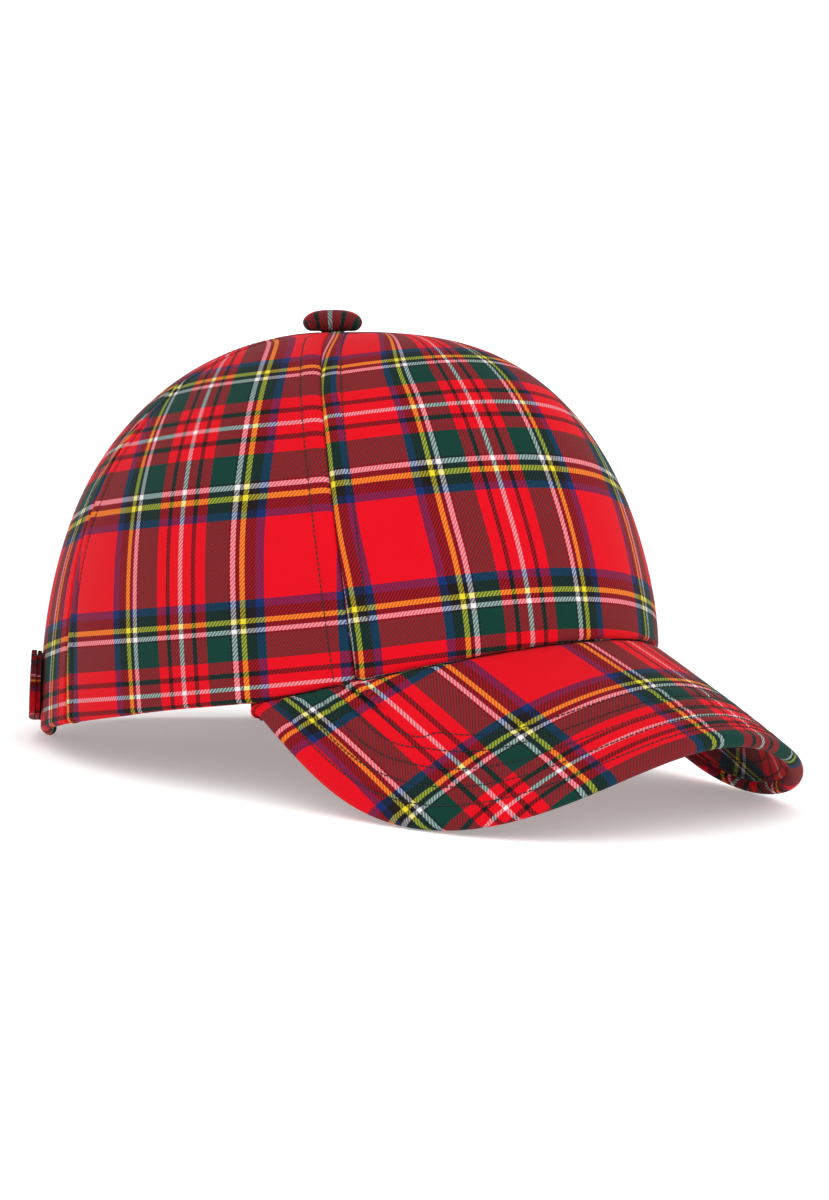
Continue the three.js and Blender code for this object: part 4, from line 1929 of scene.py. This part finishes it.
@dataclass
class Button:
    """A covered button: tartan gathered over a domed disc, with its shank below, in mm."""

    form: CapForm
    radius: float = 8.8
    height: float = 6.4
    edge: float = 2.7
    gap: float = 0.3
    shank_radius: float = 3.4
    shank_length: float = 5.0
    pleats: int = 17
    pleat_depth: float = 0.16
    turn: float = math.radians(-43)
    cloth_start: tuple[float, float] = (35.2, 34.8)
    dome: float = 0.72
    gather_height: float = 2.2
    tuck: float = 0.5

    def outline(self, share: np.ndarray) -> tuple[np.ndarray, np.ndarray]:
        """Draw the button's half section.

        Args:
            share: shares of the way from the underside's middle to the top.

        Returns:
            Radius and height at each share.
        """
        low = self.gap
        points = [(0, -self.shank_length), (self.shank_radius - 0.6, -self.shank_length)]
        points += [(self.shank_radius, 0.6 - self.shank_length), (self.shank_radius, low - 0.1)]
        points += [(self.shank_radius + 0.8, low), (self.radius - self.edge, low)]
        for angle in (step / 6 * math.pi / 2 for step in range(1, 7)):
            out = self.radius - self.edge + self.edge * math.sin(angle)
            points.append((out, low + self.edge - self.edge * math.cos(angle)))
        crown = self.height - self.edge
        for angle in (step / 16 * math.pi / 2 for step in range(1, 17)):
            out = self.radius * max(math.cos(angle), 0) ** self.dome
            points.append((out, low + self.edge + crown * math.sin(angle)))
        points = np.array(points)
        walked = walk(points)
        place = share * walked[-1]
        return np.interp(place, walked, points[:, 0]), np.interp(place, walked, points[:, 1])

    def build(self, groups: dict[str, bpy.types.NodeTree]) -> bpy.types.Object:
        """Make the button from a ball drawn out to its outline.

        Args:
            groups: the shared node groups.

        Returns:
            The piece.
        """
        deselect_all()
        bpy.ops.mesh.primitive_uv_sphere_add(segments=96, ring_count=64, radius=1)
        piece = bpy.context.object
        piece.name = piece.data.name = "button_cover"
        mesh = piece.data
        ball = read_array(mesh.vertices, "co", len(mesh.vertices) * 3).reshape(-1, 3)
        share = np.arccos(np.clip(-ball[:, 2], -1, 1)) / math.pi
        turn = np.arctan2(ball[:, 1], ball[:, 0])
        radius, height = self.outline(share)
        low = self.gap + self.edge
        gathered = np.clip(1 - (height - low) / self.gather_height, 0, 1)
        gathered = gathered * ramp(radius, self.shank_radius, 7)
        waves = np.cos(self.pleats * turn + 0.8 * np.sin(3 * turn)) * self.pleat_depth * gathered
        flat_radius = radius - waves
        top = self.form.top / MM
        places = np.stack(
            [flat_radius * np.cos(turn), flat_radius * np.sin(turn), height + top], axis=-1
        )
        middle = np.array([0, self.form.setback, 0])
        mesh.vertices.foreach_set("co", (places * MM + middle).ravel())
        spread = radius + np.maximum(low + 2 - height, 0) * self.tuck
        turned = turn - self.turn
        along = np.stack([spread * np.cos(turned), spread * np.sin(turned)], axis=-1)
        lay_cloth(mesh, (along + np.array(self.cloth_start)) * MM)
        smooth(piece, 60)
        # the button's tartan keeps 0.6 of its colour, darker than the crown's
        TartanCloth("button_tartan", depth=0.6).dress(piece, groups)
        finish_piece(piece, "button_cloth", "button")
        return piece


@dataclass
class Strap:
    """The closure strap across the back opening and the layer beneath it.

    Sizes are in millimetres, bearings in degrees. The strap lies outside the right back panel
    and inside the left one, and its right end lifts a little off the cloth.
    """

    form: CapForm
    start: float = 127.0
    end: float = 226.0
    cross_from: float = 160.0
    cross_to: float = 200.0
    outside: float = 3.6
    inside: float = -4.1
    lift_height: float = 0.9
    lift_span: float = 8.0
    width: float = 19.5
    above_rim: float = 4.5
    corner: float = 5.0
    thickness: float = 1.6
    backing: float = 1.2
    backing_trim: float = 0.8
    stitch_inset: float = 2.6
    edge_roll: float = 0.4
    roll_segments: int = 3
    dimple: float = 0.2
    dimple_width: float = 0.5
    # share of the tartan's colour kept on the strap, darker than the crown's
    depth: float = 0.45
    cloth_start: tuple[float, float] = (31.0, 9.0)
    cloth_radius: float = 92.0
    cloth_shift: float = 3.0
    layer_gap: float = 0.3
    stitch_margin: int = 12
    columns: int = 150
    rows: tuple[float, ...] = (0, 0.9, 1.6, 2.2, 2.6, 3.0, 3.8, 5.2, 7.0, 9.0)

    def standoff(self, bearing: np.ndarray) -> np.ndarray:
        """Distance of the strap's outer face from the crown's.

        Args:
            bearing: angles round the crown, in radians.

        Returns:
            Distances in millimetres, less than 0 inside the crown.
        """
        degrees = np.degrees(bearing)
        share = ramp(degrees, self.cross_from, self.cross_to)
        lying = self.outside + (self.inside - self.outside) * share
        from_end = (degrees - self.start) / self.lift_span
        return lying + self.lift_height * np.maximum(1 - from_end, 0) ** 2

    def layer(
        self, name: str, depth: float, thickness: float, trim: float
    ) -> tuple[bpy.types.Object, np.ndarray, np.ndarray]:
        """Make one layer of the strap.

        Args:
            name: name of the piece.
            depth: how far under the strap's outer face it starts, in millimetres.
            thickness: its thickness, in millimetres.
            trim: how much shorter it is at each end, in degrees.

        Returns:
            The sheet, its points and its outward directions.
        """
        span = self.end - self.start - 2 * trim
        share = (1 - np.cos(np.linspace(0, math.pi, self.columns))) / 2
        bearing = np.radians(self.start + trim + span * share)
        from_end = np.minimum(share, 1 - share) * math.radians(span) * self.form.rim_length / MM
        short = np.maximum(self.corner - from_end, 0)
        corner = self.corner - np.sqrt(np.maximum(self.corner**2 - short**2, 0))
        height = self.width - 2 * corner
        offsets = np.array(self.rows)
        half = np.concatenate([offsets, [self.width / 2], (self.width - offsets)[::-1]])
        places = half[:, None] / self.width * height + corner + self.above_rim
        rim = np.minimum(half, self.width - half)[:, None]
        inset = np.minimum(rim, from_end)
        relief = -self.dimple * bump(inset, self.stitch_inset, self.dimple_width)
        bearings = np.broadcast_to(bearing, places.shape)
        point, outward, _ = self.form.frame_at(bearings, places * MM + self.form.hem(bearings))
        out = self.standoff(bearings) - depth + relief
        points = (point + outward * out[..., None] * MM)[:, ::-1]
        warp_start, weft_start = self.cloth_start
        warp = share * math.radians(span) * self.cloth_radius + warp_start + self.cloth_shift * depth
        cloth = np.stack(np.meshgrid(warp, half + weft_start), axis=-1)[:, ::-1]
        piece = cloth_grid(name, points, cloth * MM)
        thicken(piece, thickness * MM)
        rounding = piece.modifiers.new("rounded_edge", "BEVEL")
        rounding.width = self.edge_roll * MM
        rounding.segments = self.roll_segments
        rounding.limit_method = "ANGLE"
        rounding.angle_limit = math.radians(50)
        apply_modifiers(piece)
        smooth(piece)
        return piece, points, outward[:, ::-1]

    def build(
        self, groups: dict[str, bpy.types.NodeTree], stitching: Stitching, thread: SewingThread
    ) -> list[bpy.types.Object]:
        """Make the strap, its backing and its stitching.

        Args:
            groups: the shared node groups.
            stitching: the shape of the stitches.
            thread: the finish of the stitches.

        Returns:
            The pieces.
        """
        strap, points, outward = self.layer("strap_cloth_band", 0.0, self.thickness, 0.0)
        under = self.thickness + self.layer_gap
        backing, folded, _ = self.layer("strap_fold", under, self.backing, self.backing_trim)
        cloth = TartanCloth("strap_tartan", depth=self.depth)
        cloth.dress(strap, groups)
        cloth.dress(backing, groups)
        finish_piece(strap, "strap_cloth", "closure_strap")
        finish_piece(backing, "strap_cloth", "strap_backing")
        declare_cloth(strap, unrolled(points))
        declare_cloth(backing, unrolled(folded))
        row = self.rows.index(self.stitch_inset)
        keep = slice(self.stitch_margin, -self.stitch_margin)
        lines = [(points[place, keep], outward[place, keep]) for place in (row, -1 - row)]
        sewn = stitching.sew("strap_stitches", lines, thread)
        finish_piece(sewn, "strap_cloth")
        return [strap, backing, sewn]


# ---------------------------------------------------------------- studio


@dataclass
class Studio:
    """A pale floor that sweeps up all round, soft light and the camera."""

    form: CapForm
    azimuth: float = math.radians(-43.229)
    elevation: float = math.radians(3.52)
    distance: float = 1.2131
    target_ahead: float = 0.020
    target_height: float = 0.060
    focal: float = 122.76
    shift: tuple[float, float] = (0.0215, -0.01175)
    room: float = 6.0
    flat: float = 0.6
    sweep: float = 1.6
    below_cap: float = 0.0002
    floor_cells: int = 96
    room_light: float = 0.72
    key_light: float = 1.5
    key_toward: tuple[float, float, float] = (-0.35, -0.75, 1.0)
    key_spread: float = math.radians(70)
    sensor: float = 36.0

    def floor(self) -> None:
        """Make the floor and its sweep, which rises all round."""
        deselect_all()
        cells = self.floor_cells
        bpy.ops.mesh.primitive_grid_add(x_subdivisions=cells, y_subdivisions=cells, size=2)
        floor = bpy.context.object
        floor.name = "studio_floor"
        for vertex in floor.data.vertices:
            x, y, _ = vertex.co
            reach = max(abs(x), abs(y)) * self.room
            turn = math.atan2(y, x)
            rise = max(reach / self.room - self.flat, 0) / (1 - self.flat)
            sweep = self.sweep * (1 - math.sqrt(max(1 - rise**2, 0)))
            height = sweep - self.below_cap
            vertex.co = (reach * math.cos(turn), reach * math.sin(turn), height)
        floor.data.update()
        smooth(floor, 60)
        floor.data.materials.append(StudioFloor().make())

    def key_lamp(self) -> None:
        """Add the soft light that comes evenly from over the cap's right front."""
        data = bpy.data.lights.new("key_lamp", "SUN")
        data.angle = self.key_spread
        data.energy = self.key_light
        lamp = bpy.data.objects.new("key_lamp", data)
        lamp.rotation_euler = Vector(self.key_toward).to_track_quat("Z", "Y").to_euler()
        bpy.context.collection.objects.link(lamp)

    def surroundings(self) -> None:
        """Fill the room with even pale light."""
        world = bpy.data.worlds.new("studio_room")
        world.use_nodes = True
        background = world.node_tree.nodes["Background"]
        background.inputs[0].default_value = (1, 1, 1, 1)
        background.inputs[1].default_value = self.room_light
        bpy.context.scene.world = world

    def camera(self) -> None:
        """Aim the camera at a point ahead of the crown's middle, from its azimuth and height."""
        aim = np.array([0, -self.target_ahead, self.target_height])
        level = math.cos(self.elevation)
        back = np.array(
            [
                math.sin(self.azimuth) * level,
                -math.cos(self.azimuth) * level,
                math.sin(self.elevation),
            ]
        )
        data = bpy.data.cameras.new("camera")
        data.lens = self.focal
        data.sensor_width = self.sensor
        data.shift_x, data.shift_y = self.shift
        camera = bpy.data.objects.new("camera", data)
        turn = Vector(-back).to_track_quat("-Z", "Y").to_matrix().to_4x4()
        place = Matrix.Translation(Vector(aim + back * self.distance))
        camera.matrix_world = Stance().matrix @ place @ turn
        bpy.context.collection.objects.link(camera)
        bpy.context.scene.camera = camera

    def build(self) -> None:
        """Set up the whole studio."""
        self.camera()
        self.floor()
        self.surroundings()
        self.key_lamp()
        bpy.context.scene.view_settings.view_transform = "Standard"


def main() -> None:
    """Build the cap and the studio round it, and write how big the model came out."""
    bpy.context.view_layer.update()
    form = CapForm()
    Studio(form).build()
    groups = {
        "tartan": TartanSett().build(),
        "visor": TartanSett(name="woven_visor_tartan", warp=TartanSett.weft).build(),
        "wear": ClothWear().build(),
    }
    stitching, thread = Stitching(), SewingThread()
    pieces = Crown(form).build(groups, stitching, thread)
    pieces += Visor(form).build(groups, stitching, thread)
    pieces.append(Button(form).build(groups))
    pieces += Strap(form).build(groups, stitching, thread)
    LOG.info("%d pieces made", len(pieces))


if __name__ == "__main__":
    main()
